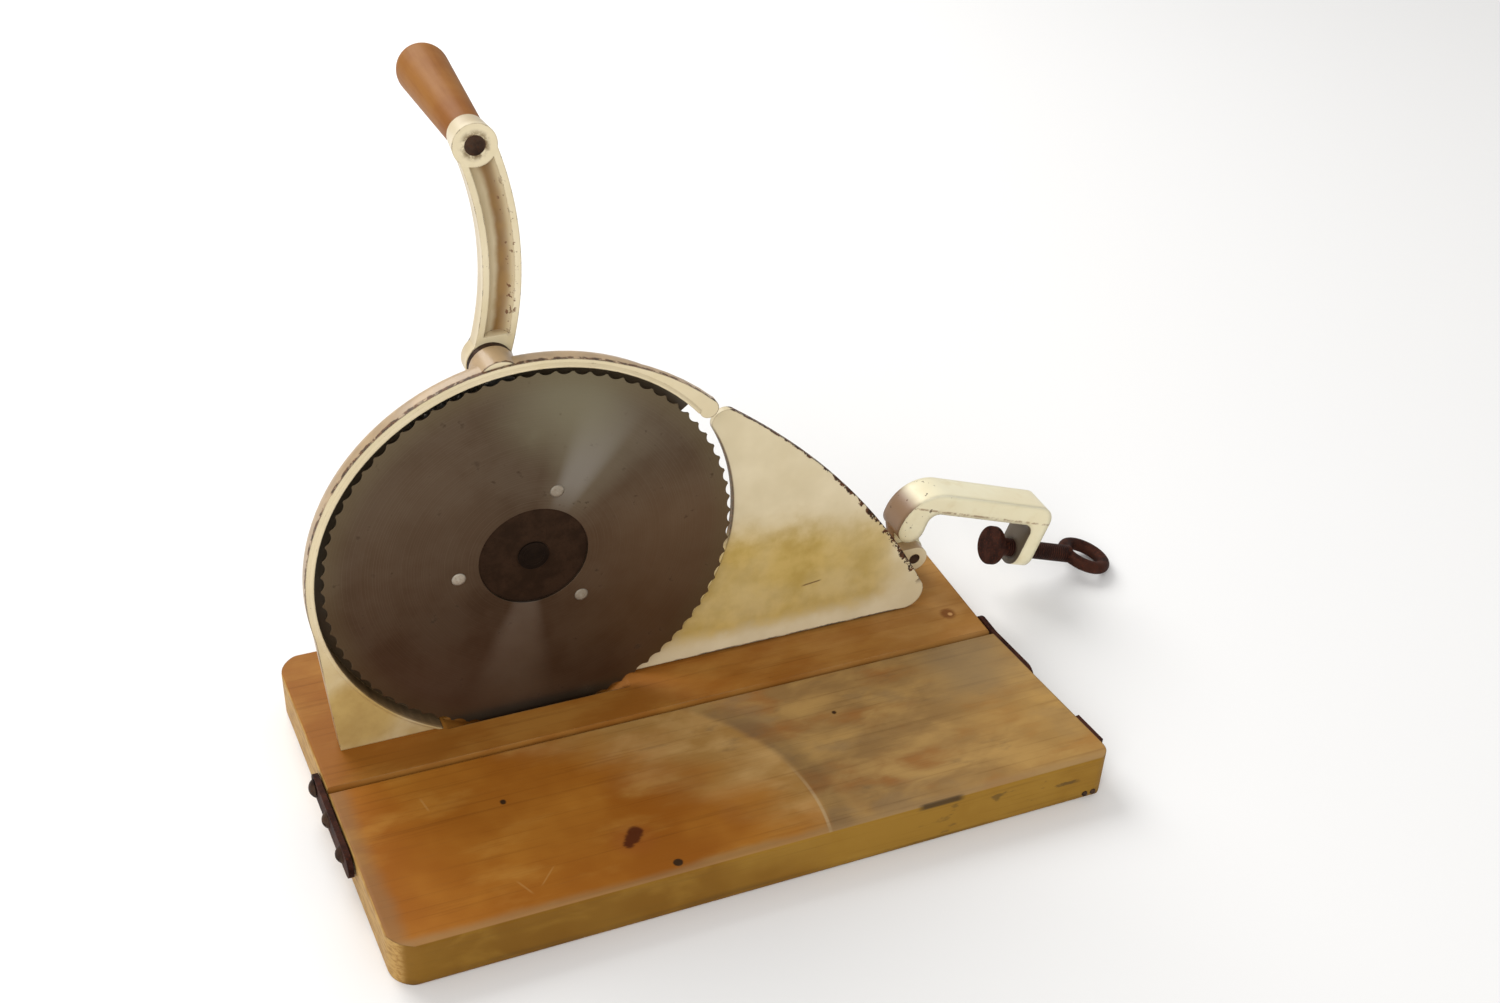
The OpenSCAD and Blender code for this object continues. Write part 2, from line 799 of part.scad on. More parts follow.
module frame() color(cream) machine() difference() {
  union() {
    frame_shell();
    frame_bosses();
    frame_foot();
    frame_rail();
  }
  translate([-2 * dish_r, -over, 0]) cube([2 * dish_r + lug_x, 2 * post_back, board_thick]);
  rod_y(0, blade_z, journal_r + run, web_y - over, hub_end + over);
  rod_y(idler_x, blade_z + idler_up, stud_r, web_y - over, hub_end + over);
  rod_y(crank_x, blade_z + crank_up, shaft_journal + run, web_y - over, boss_end + over);
  rod_y(crank_x, blade_z + crank_up, pocket_r, gear_y - apart, web_y);
  for (x = rods_x)
    rod_y(x, rod_z, rod_r + run, guide_y[0] - over, guide_y[1] + over);
  rod_z(rods_x[0], lock_y, lock_r + run, rod_z, lock_boss_top + over);
  rod_y(lug_x, lug_z, clamp_pin_r, rail_y[0] - over, rail_y[1] + over);
  for (p = left_screws)
    rod_z(p[0], p[1], wood_screw_r, board_thick - over, board_thick + foot_t + over);
  for (p = right_screws)
    rod_z(p[0], p[1], wood_screw_r, board_thick - over, board_thick + foot_t + over);
}

module frame_screws() color(steel) frame_screw_places()
  rotate([0, -90, 0]) round_screw(wood_head_r, wood_head_h, wood_screw_r, wood_screw_len);

// blade and its spindle

module scallops() {
  half = 180 / teeth * (1 - tooth_land);
  chord = blade_r * sin(half);
  cut_r = (chord * chord + tooth_depth * tooth_depth) / (2 * tooth_depth);
  cut_at = blade_r * cos(half) - tooth_depth + cut_r;
  for (i = [0:teeth - 1])
    rotate(i * 360 / teeth) translate([cut_at, 0]) circle(r = cut_r);
}

module at_rivets() for (a = rivet_turns) rotate(a) translate([rivet_ring, 0]) children();

module blade() color(bright) machine() translate([0, blade_y, blade_z]) rotate([-90, 0, 0]) difference() {
  rotate_extrude() polygon([
    [eye_r, 0],
    [blade_r, 0],
    [blade_r, edge_t],
    [blade_r - bevel_w, blade_t],
    [eye_r, blade_t]
  ]);
  translate([0, 0, -over]) linear_extrude(height = blade_t + 2 * over) mirror([0, 1]) {
    scallops();
    at_rivets() circle(r = rivet_r);
  }
}

module blade_rivets() color(dark) machine() for (a = rivet_turns) {
  x = rivet_ring * cos(a);
  z = blade_z + rivet_ring * sin(a);
  rod_y(x, z, rivet_r, blade_y, carrier_y + carrier_t);
  translate([x, blade_y, z]) rotate([0, 0, -90]) dome(rivet_head, rivet_head_h);
}

module blade_carrier() color(dark) machine() difference() {
  union() {
    rod_y(0, blade_z, carrier_r, carrier_y, carrier_y + carrier_t);
    rod_y(0, blade_z, collar_r, carrier_y, gear_y);
  }
  rod_y(0, blade_z, spindle_r, carrier_y - over, gear_y + over);
  for (a = rivet_turns)
    rod_y(rivet_ring * cos(a), blade_z + rivet_ring * sin(a), rivet_r, carrier_y - over, gear_y + over);
}

module blade_spindle() color(steel) machine() {
  rod_y(0, blade_z, tail_r, washer_front, carrier_y);
  rod_y(0, blade_z, spindle_r, carrier_y, gear_y + gear_t);
  rod_y(0, blade_z, journal_r, gear_y + gear_t, hub_end + apart);
  rod_y(0, blade_z, tail_r, hub_end + apart, hub_end + apart + collar_t);
}

module spindle_washer() color(dark) machine()
  slab(washer_front, carrier_y) translate([0, blade_z]) difference() {
    circle(r = end_washer_r);
    circle(r = tail_r);
  }

module spindle_collar() color(steel) machine() difference() {
  rod_y(0, blade_z, collar_r, hub_end + apart, hub_end + apart + collar_t);
  rod_y(0, blade_z, tail_r, hub_end, hub_end + apart + collar_t + over);
}

// gears

function involute_deg(base, r) = tan(acos(min(1, base / r))) * 180 / PI - acos(min(1, base / r));
function flank_deg(n, r) =
  let (pitch = gear_m * n / 2, base = pitch * cos(press_deg))
  90 / n - flank_gap / 2 / pitch * 180 / PI + involute_deg(base, pitch) - involute_deg(base, max(base, r));
function tooth_radius(n, k) = gear_m * n / 2 - tooth_down + (tooth_up + tooth_down) * k / flank_steps;

module gear_outline(n) polygon([
  for (i = [0:n - 1])
    for (s = [-1, 1])
      for (j = [0:flank_steps])
        let (
          r = tooth_radius(n, s < 0 ? j : flank_steps - j),
          a = i * 360 / n + s * flank_deg(n, r)
        )
        r * [cos(a), sin(a)]
]);

module driven_gear() color(steel) machine()
  slab(gear_y, gear_y + gear_t) translate([0, blade_z]) difference() {
    gear_outline(driven_n);
    circle(r = spindle_r);
  }

module idler_gear() color(steel) machine() slab(gear_y, gear_y + gear_t)
  translate([idler_x, blade_z + idler_up]) rotate(idler_turn) difference() {
    gear_outline(idler_n);
    circle(r = stud_r + run);
    for (i = [0:idler_holes - 1])
      rotate(i * 360 / idler_holes) translate([idler_hole_at, 0]) circle(r = idler_hole_r);
  }

module idler_stud() color(bright) machine() {
  rod_y(idler_x, blade_z + idler_up, stud_head_r, carrier_y + apart, gear_y - apart);
  rod_y(idler_x, blade_z + idler_up, stud_r, gear_y - apart, hub_end);
}

module crank_pinion() color(steel) machine() slab(gear_y, gear_y + gear_t)
  translate([crank_x, blade_z + crank_up]) rotate(pinion_turn) difference() {
    gear_outline(pinion_n);
    circle(r = shaft_r);
  }

// crank and handle

module crank() machine() translate([crank_x, 0, blade_z + crank_up]) children();

module crank_shaft() color(steel) crank() {
  rod_y(0, 0, shaft_r, gear_y, gear_y + gear_t);
  rod_y(0, 0, shaft_journal, gear_y + gear_t, arm_y + arm_t + crank_nut_t);
}

module crank_washer() color(dark) crank() difference() {
  rod_y(0, 0, washer_r, boss_end + apart, arm_y);
  rod_y(0, 0, shaft_journal, boss_end, arm_y + over);
}

// curved strip between the shaft and the pin, its middle line bowed to the right
module arm_strip(w) rotate(throw_deg) intersection() {
  translate([arm_bow - bow_r, throw / 2]) difference() {
    circle(r = bow_r + w / 2);
    circle(r = bow_r - w / 2);
  }
  polygon([
    [arm_bow - bow_r, throw / 2],
    [0, 0],
    [2 * bow_r, -throw],
    [2 * bow_r, 2 * throw],
    [0, throw]
  ]);
}

module arm_groove() rotate([0, -throw_deg, 0]) intersection() {
  translate([arm_bow - bow_r, arm_y - channel_out, throw / 2]) rotate([-90, 0, 0])
    rotate_extrude() translate([bow_r, 0]) circle(r = channel_r);
  translate([-throw, arm_y - over - channel_r, channel_start])
    cube([2 * throw, arm_t + channel_r, throw - channel_start]);
}

module crank_arm() color(cream) crank() difference() {
  union() {
    difference() {
      slab(arm_y, arm_y + arm_t) arm_strip(arm_w);
      arm_groove();
    }
    rod_y(0, 0, arm_hub_r, arm_y, arm_y + arm_t);
    translate([pin_x, arm_y, pin_up]) rotate([-90, 0, 0])
      cylinder(h = end_boss_t, r1 = end_boss_r, r2 = end_boss_rear);
  }
  rod_y(0, 0, shaft_journal, arm_y - over, arm_y + arm_t + over);
  rod_y(pin_x, pin_up, pin_r, arm_y - over, arm_y + end_boss_t + over);
}

module crank_nut() color(steel) crank() slab(arm_y + arm_t, arm_y + arm_t + crank_nut_t) difference() {
  circle(r = crank_nut_r, $fn = 6);
  circle(r = shaft_journal);
}

module handle_pin() color(dark) crank() {
  rod_y(pin_x, pin_up, pin_r, arm_y, arm_y + end_boss_t);
  rod_y(pin_x, pin_up, pin_core, arm_y + end_boss_t, bulb_y + bulb_r / 2 + apart);
  rod_y(pin_x, pin_up, pin_head, bulb_y + bulb_r / 2 + apart, bulb_y + bulb_r / 2 + apart + pin_head_t);
}

// half section of the grip: its straight taper meets its round end without a crease
module grip_section() {
  bulb_at = grip_len - bulb_r;
  reach = norm([neck_r, bulb_at]);
  lean = atan2(bulb_at, -neck_r) - asin(bulb_r / reach);
  side = sqrt(reach * reach - bulb_r * bulb_r);
  meet = [neck_r + side * cos(lean), side * sin(lean)];
  difference() {
    union() {
      polygon([[0, 0], [neck_r, 0], meet, [0, meet[1]]]);
      intersection() {
        translate([0, bulb_at]) circle(r = bulb_r);
        translate([0, bulb_at - bulb_r]) square([bulb_r, 2 * bulb_r]);
      }
    }
    translate([-over, -over]) square([pin_core + run + over, grip_len]);
    translate([-over, bulb_at + bulb_r / 2]) square([pin_head + apart + over, bulb_r]);
  }
}

module handle_grip() color(grip_wood) crank() translate([pin_x, grip_y, pin_up])
  rotate([-90, 0, 0]) rotate_extrude() grip_section();

// fence

module fence_outline() difference() {
  union() {
    intersection() {
      translate(slant_at) circle(r = slant_r);
      polygon([
        [0, fence_low],
        [corner_at[0], fence_low],
        corner_slant,
        corner_slant + (corner_slant - slant_at) * outset,
        tip_slant + (tip_slant - slant_at) * outset,
        tip_slant,
        tip_hollow,
        [0, blade_z]
      ]);
    }
    translate(tip_at) circle(r = tip_r);
    translate(corner_at) circle(r = corner_round);
  }
  translate([0, blade_z]) circle(r = fence_in);
}

module fence_plate() color(cream) machine() slab(fence_y, fence_y + fence_t) fence_outline();

module fence_rods() color(steel) machine() for (x = rods_x) {
  rod_y(x, rod_z, flange_r, fence_y + fence_t, fence_y + fence_t + flange_t);
  rod_y(x, rod_z, rod_r, fence_y + fence_t, rod_end);
}

module lock_screw() color(steel) machine() translate([rods_x[0], lock_y, 0]) {
  rod_z(0, 0, lock_r, rod_z + rod_r + apart, lock_boss_top + apart);
  rod_z(0, 0, lock_head_r, lock_boss_top + apart, lock_boss_top + apart + lock_head_h);
  translate([0, 0, lock_boss_top + apart + lock_head_h])
    slab(-wing_t / 2, wing_t / 2) intersection() {
      round_square([-wing_span / 2, -lock_head_h], [wing_span / 2, wing_h], wing_h / 2);
      difference() {
        translate([-wing_span / 2, over - lock_head_h]) square([wing_span, wing_h + lock_head_h]);
        translate([0, wing_h + wing_dip]) circle(r = wing_dip_r);
      }
    }
}

// clamp, drawn with its bar level and the pivot at the origin

module clamp() machine() translate([lug_x, 0, lug_z]) rotate([0, clamp_tilt, 0]) children();

module clamp_jaw() difference() {
  translate([near_right, -bar_out]) square([leg_in - near_right, bar_out + bar_in]);
  corner_off([near_right + inner_round, bar_in - inner_round], inner_round, 90, 180);
  corner_off([leg_in - inner_round, bar_in - inner_round], inner_round, 0, 90);
}

module clamp_outline() difference() {
  translate([near_left, axis_v - leg_round]) square([leg_out - near_left, bar_out - axis_v + leg_round]);
  clamp_jaw();
  corner_off([near_left + outer_left, bar_out - outer_left], outer_left, 90, 180);
  corner_off([leg_out - outer_right, bar_out - outer_right], outer_right, 0, 90);
  translate([near_left - over, -bar_out]) square([near_right - near_left + 2 * over, bar_out + near_end]);
  corner_off([near_left + near_round, near_end + near_round], near_round, 180, 270);
  corner_off([near_right - near_round, near_end + near_round], near_round, 270, 360);
}

// rounds the screw leg's lower end about the screw
module leg_end_cut() difference() {
  translate([clamp_y[0] - over, axis_v - leg_round - over]) square([clamp_t + 2 * over, leg_round + over]);
  translate([clamp_mid, axis_v]) circle(r = leg_round);
}

module clamp_eye() {
  circle(r = eye_boss_r);
  polygon([
    [near_left, near_end + near_round],
    [near_right, near_end + near_round + over],
    eye_inside * [cos(eye_turns[0]), sin(eye_turns[0])],
    eye_inside * [cos(eye_turns[1]), sin(eye_turns[1])]
  ]);
}

module clamp_arm() color(cream) clamp() difference() {
  union() {
    slab(clamp_y[0], clamp_y[1]) clamp_outline();
    slab(eye_y, clamp_y[1]) clamp_eye();
  }
  side_slab(leg_in - over, leg_out + over) leg_end_cut();
  rod_y(0, 0, clamp_pin_r + run, eye_y - over, clamp_y[1] + over);
  rod_x(clamp_mid, axis_v, screw_r + run, leg_in - over, leg_out + over);
}

module clamp_pin() color(dark) machine() {
  rod_y(lug_x, lug_z, clamp_pin_r, rail_y[0] + outset, clamp_y[1] + apart);
  rod_y(lug_x, lug_z, clamp_pin_head, clamp_y[1] + apart, clamp_y[1] + apart + clamp_pin_head_t);
}

module clamp_pad() color(dark) clamp() difference() {
  union() {
    rod_x(clamp_mid, axis_v, pad_r, pad_at, pad_at + pad_t);
    translate([pad_at + pad_t, clamp_mid, axis_v]) rotate([0, 90, 0])
      cylinder(h = pad_cone_end - pad_at - pad_t, r1 = pad_back_r, r2 = pad_neck_r);
    rod_x(clamp_mid, axis_v, pad_neck_r, pad_cone_end, neck_end);
  }
  rod_x(clamp_mid, axis_v, tip_pin_r + run, tip_start - apart, neck_end + over);
}

module clamp_screw() color(dark) clamp() {
  rod_x(clamp_mid, axis_v, tip_pin_r, tip_start, screw_start);
  rod_x(clamp_mid, axis_v, screw_r, screw_start, eye_mid - eye_ring);
  translate([eye_mid, clamp_mid, axis_v]) rotate_extrude() translate([eye_ring, 0]) circle(r = wire_r);
}

rear_board();
front_board();
strap_left();
strap_right();
pivot_screws();
strap_screws();
catch_plate();
catch_screws();
leaf_tacks();
frame();
frame_screws();
blade();
blade_rivets();
blade_carrier();
blade_spindle();
spindle_washer();
spindle_collar();
driven_gear();
idler_gear();
idler_stud();
crank_pinion();
crank_shaft();
crank_washer();
crank_arm();
crank_nut();
handle_pin();
handle_grip();
fence_plate();
fence_rods();
lock_screw();
clamp_arm();
clamp_pin();
clamp_pad();
clamp_screw();
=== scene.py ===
"""Looks of the hand crank bread slicer: worn enamel, varnished boards, tarnished blade and rusty iron."""

import functools
import json
import math
from types import SimpleNamespace

import bpy
from mathutils import Matrix, Vector


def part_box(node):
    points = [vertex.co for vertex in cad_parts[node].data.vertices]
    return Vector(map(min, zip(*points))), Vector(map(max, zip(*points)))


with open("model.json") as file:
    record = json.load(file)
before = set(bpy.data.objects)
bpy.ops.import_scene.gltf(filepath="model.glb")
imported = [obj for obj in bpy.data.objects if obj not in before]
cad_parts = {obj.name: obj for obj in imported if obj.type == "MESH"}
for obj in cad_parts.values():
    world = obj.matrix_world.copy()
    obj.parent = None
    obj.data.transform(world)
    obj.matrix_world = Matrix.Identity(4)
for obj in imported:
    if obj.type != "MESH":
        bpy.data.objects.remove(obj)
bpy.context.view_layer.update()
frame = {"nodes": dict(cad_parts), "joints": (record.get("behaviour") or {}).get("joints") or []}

MM = 1000.0  # millimetres in a metre
JOINTS = {joint["name"]: joint for joint in frame["joints"]}


def corners(node):
    """A node's lowest and highest corners at rest, in millimetres."""
    low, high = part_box(node)
    return low * MM, high * MM


def pivot(joint):
    """A joint's place at rest, in millimetres."""
    return Vector(JOINTS[joint]["pos_m"]) * MM


# Places that the frame gives, in millimetres
BOARD_TOP = corners("rear_board")[1].z
LEAF_FRONT = corners("front_board")[0].y
SEAM_Y = (corners("front_board")[1].y + corners("rear_board")[0].y) / 2
FENCE_LOW = corners("fence_plate")[0].z
FACE_Y = corners("frame")[0].y + 1.0  # the dish's rim, behind the frame's foremost face
WEB_BACK = pivot("crank_turn").y
BLADE_MID = pivot("blade_turn")
HANDLE_PIN = pivot("handle_spin")
LUG = pivot("clamp_swing")
CLAMP_TILT = math.asin(JOINTS["pad_slide"]["axis"][2])

# Curves of the solids, in millimetres
DISH_OUTER, DISH_INNER = 101.9, 98.3  # the ring's radii round the blade
BOW_R = 98.5  # the fence's hollow edge, round the blade
SLANT_MID, SLANT_R = Vector((-178.9, 0.0, -130.8)), 364.3  # the fence's slanted edge
ARM_MID, ARM_R = Vector((-225.5, 0.0, 250.1)), 157.1  # the crank arm's middle line
LEFT_SLOPE = 0.0492  # of the boards' left ends, in x for each y

# Marks, stains and the middle of the blade's painted sheen, in millimetres; those on the boards lie on top
# of them
LEG_PANEL = (-149.0, FACE_Y, 42.0)
# The middle of the painted sheen on the blade
BLADE_SHEEN = (BLADE_MID.x + 18.0, FACE_Y + 1.8, BLADE_MID.z + 80.0)
ARC_MID, ARC_R = Vector((-61.8, -127.6, BOARD_TOP)), 97.2  # the arc where the greyed field starts
KNOT_HALO = (-51.0, -122.5, BOARD_TOP)
KNOT = ((-51.0, -122.8, 2.4), (-48.6, -119.6, 2.6), (-53.6, -125.4, 1.4))  # x, y, radius
NAIL_STAIN, NAIL = (154.5, -29.0, BOARD_TOP), (155.5, -29.5, BOARD_TOP)
DENTS = ((-97.5, -82.1, 0.9), (-37.3, -143.0, 1.6), (67.0, -78.0, 0.7))  # x, y, radius
SCRATCHES = ((-103.0, -134.0, 0.5), (-130.5, -72.0, 0.2), (-92.0, -131.0, -0.9))  # x, y, lean
FAR_GREY = (146.0, -68.0, BOARD_TOP)
GOUGE_X, MENDED_X = 88.0, 110.0  # along the leaf's front arris


def srgb(red, green, blue):
    """A colour given by its screen values, as the linear values that a shader takes."""

    def linear(c):
        c /= 255
        return c / 12.92 if c <= 0.04045 else ((c + 0.055) / 1.055) ** 2.4

    return (linear(red), linear(green), linear(blue), 1.0)


class Look:
    """A procedural material. Its coordinates are millimetres in the shared frame, fixed to the piece."""

    def __init__(self, name, metallic=0.0, coat=0.0, coat_roughness=0.2, specular=0.5):
        self.material = bpy.data.materials.new(name)
        self.material.use_nodes = True
        self.tree = self.material.node_tree
        self.tree.nodes.clear()
        self.shader = self.node("ShaderNodeBsdfPrincipled")
        self.link(self.shader.outputs["BSDF"], self.node("ShaderNodeOutputMaterial").inputs["Surface"])
        self.shader.inputs["Metallic"].default_value = metallic
        self.shader.inputs["Coat Weight"].default_value = coat
        self.shader.inputs["Coat Roughness"].default_value = coat_roughness
        self.shader.inputs["Specular IOR Level"].default_value = specular
        coords = self.node("ShaderNodeTexCoord")
        self.place = self.vector("SCALE", coords.outputs["Object"], scale=MM)
        self.x, self.y, self.z = self.split(self.place)
        self.face_x, self.face_y, self.face_z = self.split(coords.outputs["Normal"])

    def node(self, kind):
        return self.tree.nodes.new(kind)

    def link(self, source, target):
        self.tree.links.new(source, target)

    def feed(self, socket, value):
        """Links a socket to an output, or sets it to a number, a vector or a colour."""
        if isinstance(value, bpy.types.NodeSocket):
            self.link(value, socket)
        else:
            socket.default_value = value

    def split(self, vector):
        n = self.node("ShaderNodeSeparateXYZ")
        self.link(vector, n.inputs[0])
        return n.outputs

    def math(self, operation, a, b=0.0):
        n = self.node("ShaderNodeMath")
        n.operation = operation
        self.feed(n.inputs[0], a)
        self.feed(n.inputs[1], b)
        return n.outputs[0]

    def add(self, *values):
        return functools.reduce(functools.partial(self.math, "ADD"), values)

    def sub(self, a, b):
        return self.math("SUBTRACT", a, b)

    def mul(self, *values):
        return functools.reduce(functools.partial(self.math, "MULTIPLY"), values)

    def larger(self, *values):
        return functools.reduce(functools.partial(self.math, "MAXIMUM"), values)

    def absolute(self, value):
        return self.math("ABSOLUTE", value)

    def vector(self, operation, a, b=(0.0, 0.0, 0.0), scale=1.0):
        n = self.node("ShaderNodeVectorMath")
        n.operation = operation
        self.feed(n.inputs[0], a)
        self.feed(n.inputs[1], b)
        if operation == "SCALE":
            n.inputs["Scale"].default_value = scale
        return n.outputs["Value" if operation in ("DISTANCE", "DOT_PRODUCT") else "Vector"]

    def flat(self, place):
        """A place laid into the plane y = 0."""
        return self.vector("MULTIPLY", place, (1.0, 0.0, 1.0))

    def from_axis(self, middle):
        """The distance from the line along y through middle."""
        return self.vector("DISTANCE", self.flat(self.place), (middle.x, 0.0, middle.z))

    def noise(self, size, detail=4.0, roughness=0.55, stretch=(1.0, 1.0, 1.0), distort=0.0):
        """Noise from 0 to 1 in patches about size millimetres across, longer where stretch is larger."""
        n = self.node("ShaderNodeTexNoise")
        self.link(self.vector("MULTIPLY", self.place, [1.0 / s for s in stretch]), n.inputs["Vector"])
        n.inputs["Scale"].default_value = 1.0 / size
        n.inputs["Detail"].default_value = detail
        n.inputs["Roughness"].default_value = roughness
        n.inputs["Distortion"].default_value = distort
        return n.outputs[0]

    def sway(self, value, noise, by):
        """value moved to and fro by a noise, so that what it bounds gets an uneven edge."""
        return self.add(value, self.mul(self.sub(noise, 0.5), by))

    def step(self, value, low, high):
        """A soft step from 0 at low to 1 at high, or down where high is the smaller."""
        n = self.node("ShaderNodeMapRange")
        n.interpolation_type = "SMOOTHSTEP"
        self.feed(n.inputs["Value"], value)
        rising = low < high
        n.inputs["From Min"].default_value = min(low, high)
        n.inputs["From Max"].default_value = max(low, high)
        n.inputs["To Min"].default_value = 0.0 if rising else 1.0
        n.inputs["To Max"].default_value = 1.0 if rising else 0.0
        return n.outputs["Result"]

    def band(self, value, middle, half, soft):
        """1 where value is within half of middle, falling to 0 over soft."""
        return self.step(self.absolute(self.sub(value, middle)), half + soft, half)

    def spot(self, middle, radius, soft, warp=None, warp_by=0.0):
        """1 inside a ball at middle, falling to 0 over soft; warp makes its edge uneven."""
        away = self.vector("DISTANCE", self.place, middle)
        if warp is not None:
            away = self.sway(away, warp, warp_by)
        return self.step(away, radius + soft, radius)

    def mix(self, factor, a, b, blend="MIX"):
        n = self.node("ShaderNodeMix")
        n.data_type = "RGBA"
        n.blend_type = blend
        self.feed(n.inputs[0], factor)
        self.feed(n.inputs[6], a)
        self.feed(n.inputs[7], b)
        return n.outputs[2]

    def paint(self, colour, tone, mask, share, blend="MIX"):
        """colour with a share of tone laid over it where mask is 1."""
        return self.mix(self.mul(mask, share), colour, tone, blend)

    def rounded(self, radius):
        """The normal of the surface as if its edges had that radius, in millimetres."""
        bevel = self.node("ShaderNodeBevel")
        bevel.samples = 6
        bevel.inputs["Radius"].default_value = radius / MM
        return bevel.outputs[0]

    def edges(self, radius, low, high):
        """1 along edges and 0 away from them, about radius millimetres wide."""
        geometry = self.node("ShaderNodeNewGeometry")
        dot = self.vector("DOT_PRODUCT", self.rounded(radius), geometry.outputs["True Normal"])
        return self.step(self.sub(1.0, dot), low, high)

    def finish(self, colour, roughness, height, depth, strength, round_edges):
        """Ends the material: colour, roughness, and a bump of that depth in millimetres."""
        self.feed(self.shader.inputs["Base Color"], colour)
        self.feed(self.shader.inputs["Roughness"], roughness)
        bump = self.node("ShaderNodeBump")
        bump.inputs["Strength"].default_value = strength
        bump.inputs["Distance"].default_value = depth / MM
        self.feed(bump.inputs["Height"], height)
        self.link(self.rounded(round_edges), bump.inputs["Normal"])
        self.link(bump.outputs["Normal"], self.shader.inputs["Normal"])
        return self.material


def varnish_tone(look, wood):
    """Orange varnish, duller on the rear board."""
    varnish = look.mix(look.step(wood.broad, 0.35, 0.65), srgb(150, 88, 24), srgb(170, 110, 38))
    varnish = look.paint(varnish, srgb(180, 126, 54), look.step(wood.patch, 0.5, 0.72), 0.7)
    rear = look.mix(look.step(wood.patch, 0.4, 0.7), srgb(142, 88, 30), srgb(158, 108, 46))
    return look.mix(look.sub(1.0, wood.on_leaf), varnish, rear)


def grey_tone(look, wood):
    """Bare greyed wood, with rusty and ashen patches, yellower at the right end."""
    grey = look.mix(look.step(wood.marble, 0.34, 0.68), srgb(140, 108, 66), srgb(172, 136, 80))
    rusty = look.mul(look.step(wood.patch, 0.46, 0.66), look.step(wood.marble, 0.62, 0.4))
    grey = look.paint(grey, srgb(150, 92, 40), rusty, 0.65)
    ashen = look.step(look.noise(26, detail=4, stretch=(1.5, 1.0, 1.0)), 0.52, 0.68)
    grey = look.paint(grey, srgb(130, 106, 76), ashen, 0.6)
    right_end = look.step(look.sway(look.x, wood.patch, 60.0), 90.0, 160.0)
    return look.paint(grey, srgb(166, 128, 66), right_end, 0.45)


def board_field(look, wood):
    """The boards' broad tones, with the worn field on the leaf, and a mask of the bare wood."""
    diagonal = look.add(look.x, look.mul(look.add(look.y, 110.0), 1.1))
    worn = look.mul(look.step(look.sway(diagonal, wood.patch, 90.0), -40.0, 45.0), wood.on_leaf)
    rear_worn = look.mul(look.step(look.sway(look.x, wood.patch, 120.0), 10.0, 170.0), 0.45)
    worn = look.larger(worn, rear_worn)
    tan = look.mix(look.step(wood.marble, 0.35, 0.68), srgb(162, 122, 66), srgb(188, 150, 94))
    colour = look.mix(worn, varnish_tone(look, wood), tan)

    arc = look.vector("DISTANCE", look.place, ARC_MID)
    outside = look.step(look.sway(arc, wood.patch, 5.0), ARC_R - 2.5, ARC_R + 2.5)
    outside = look.mul(outside, look.step(look.x, -8.0, 10.0), wood.on_leaf)
    colour = look.paint(colour, grey_tone(look, wood), outside, 0.9)
    line = look.mul(look.band(arc, ARC_R - 0.4, 0.35, 0.8), look.step(look.x, 6.0, 26.0))
    line = look.mul(line, wood.on_leaf, look.step(look.y, -95.0, -135.0))
    colour = look.paint(colour, srgb(196, 172, 132), line, 0.5)
    shade = look.mul(look.band(arc, ARC_R + 5.0, 2.0, 7.0), outside)
    colour = look.paint(colour, srgb(108, 82, 52), shade, 0.35)

    bare = look.larger(worn, outside)
    colour = look.paint(colour, srgb(120, 80, 42), look.step(wood.grain, 0.5, 0.75), 0.26, "MULTIPLY")
    colour = look.paint(colour, srgb(96, 70, 42), look.step(wood.fine, 0.55, 0.8), 0.16)
    dirt = look.step(look.noise(7, detail=5, stretch=(3.0, 1.0, 1.0)), 0.6, 0.78)
    colour = look.paint(colour, srgb(98, 80, 58), look.mul(dirt, bare), 0.4)
    far_grey = look.spot(FAR_GREY, 6.0, 34.0, wood.patch, 34.0)
    colour = look.paint(colour, srgb(120, 102, 78), look.mul(far_grey, wood.on_leaf), 0.6)
    return colour, bare


def board_marks(look, wood, colour):
    """The knot, a nail, dents and scratches on the top, and the knot's mask."""
    knot = look.larger(
        *(look.spot((x, y, BOARD_TOP), radius, 2.0, wood.grain, 3.0) for x, y, radius in KNOT)
    )
    halo = look.spot(KNOT_HALO, 5.0, 9.0, wood.patch, 10.0)
    colour = look.paint(colour, srgb(150, 84, 34), halo, 0.4)
    colour = look.paint(colour, srgb(74, 30, 14), knot, 0.9)
    colour = look.mix(look.spot(NAIL_STAIN, 2.6, 2.6, wood.grain, 4.0), colour, srgb(120, 74, 34))
    colour = look.mix(look.spot(NAIL, 0.7, 1.0), colour, srgb(186, 140, 88))
    for x, y, radius in DENTS:
        dent = look.spot((x, y, BOARD_TOP), radius, 0.9, wood.grain, 1.5)
        colour = look.mix(dent, colour, srgb(58, 38, 20))
    for x, y, lean in SCRATCHES:
        across = look.add(look.sub(look.x, x), look.mul(look.sub(look.y, y), lean))
        scratch = look.mul(look.band(across, 0.0, 0.25, 0.5), look.band(look.y, y, 2.5, 3.0))
        colour = look.paint(colour, srgb(190, 146, 86), look.mul(scratch, wood.on_top), 0.3)
    return colour, knot


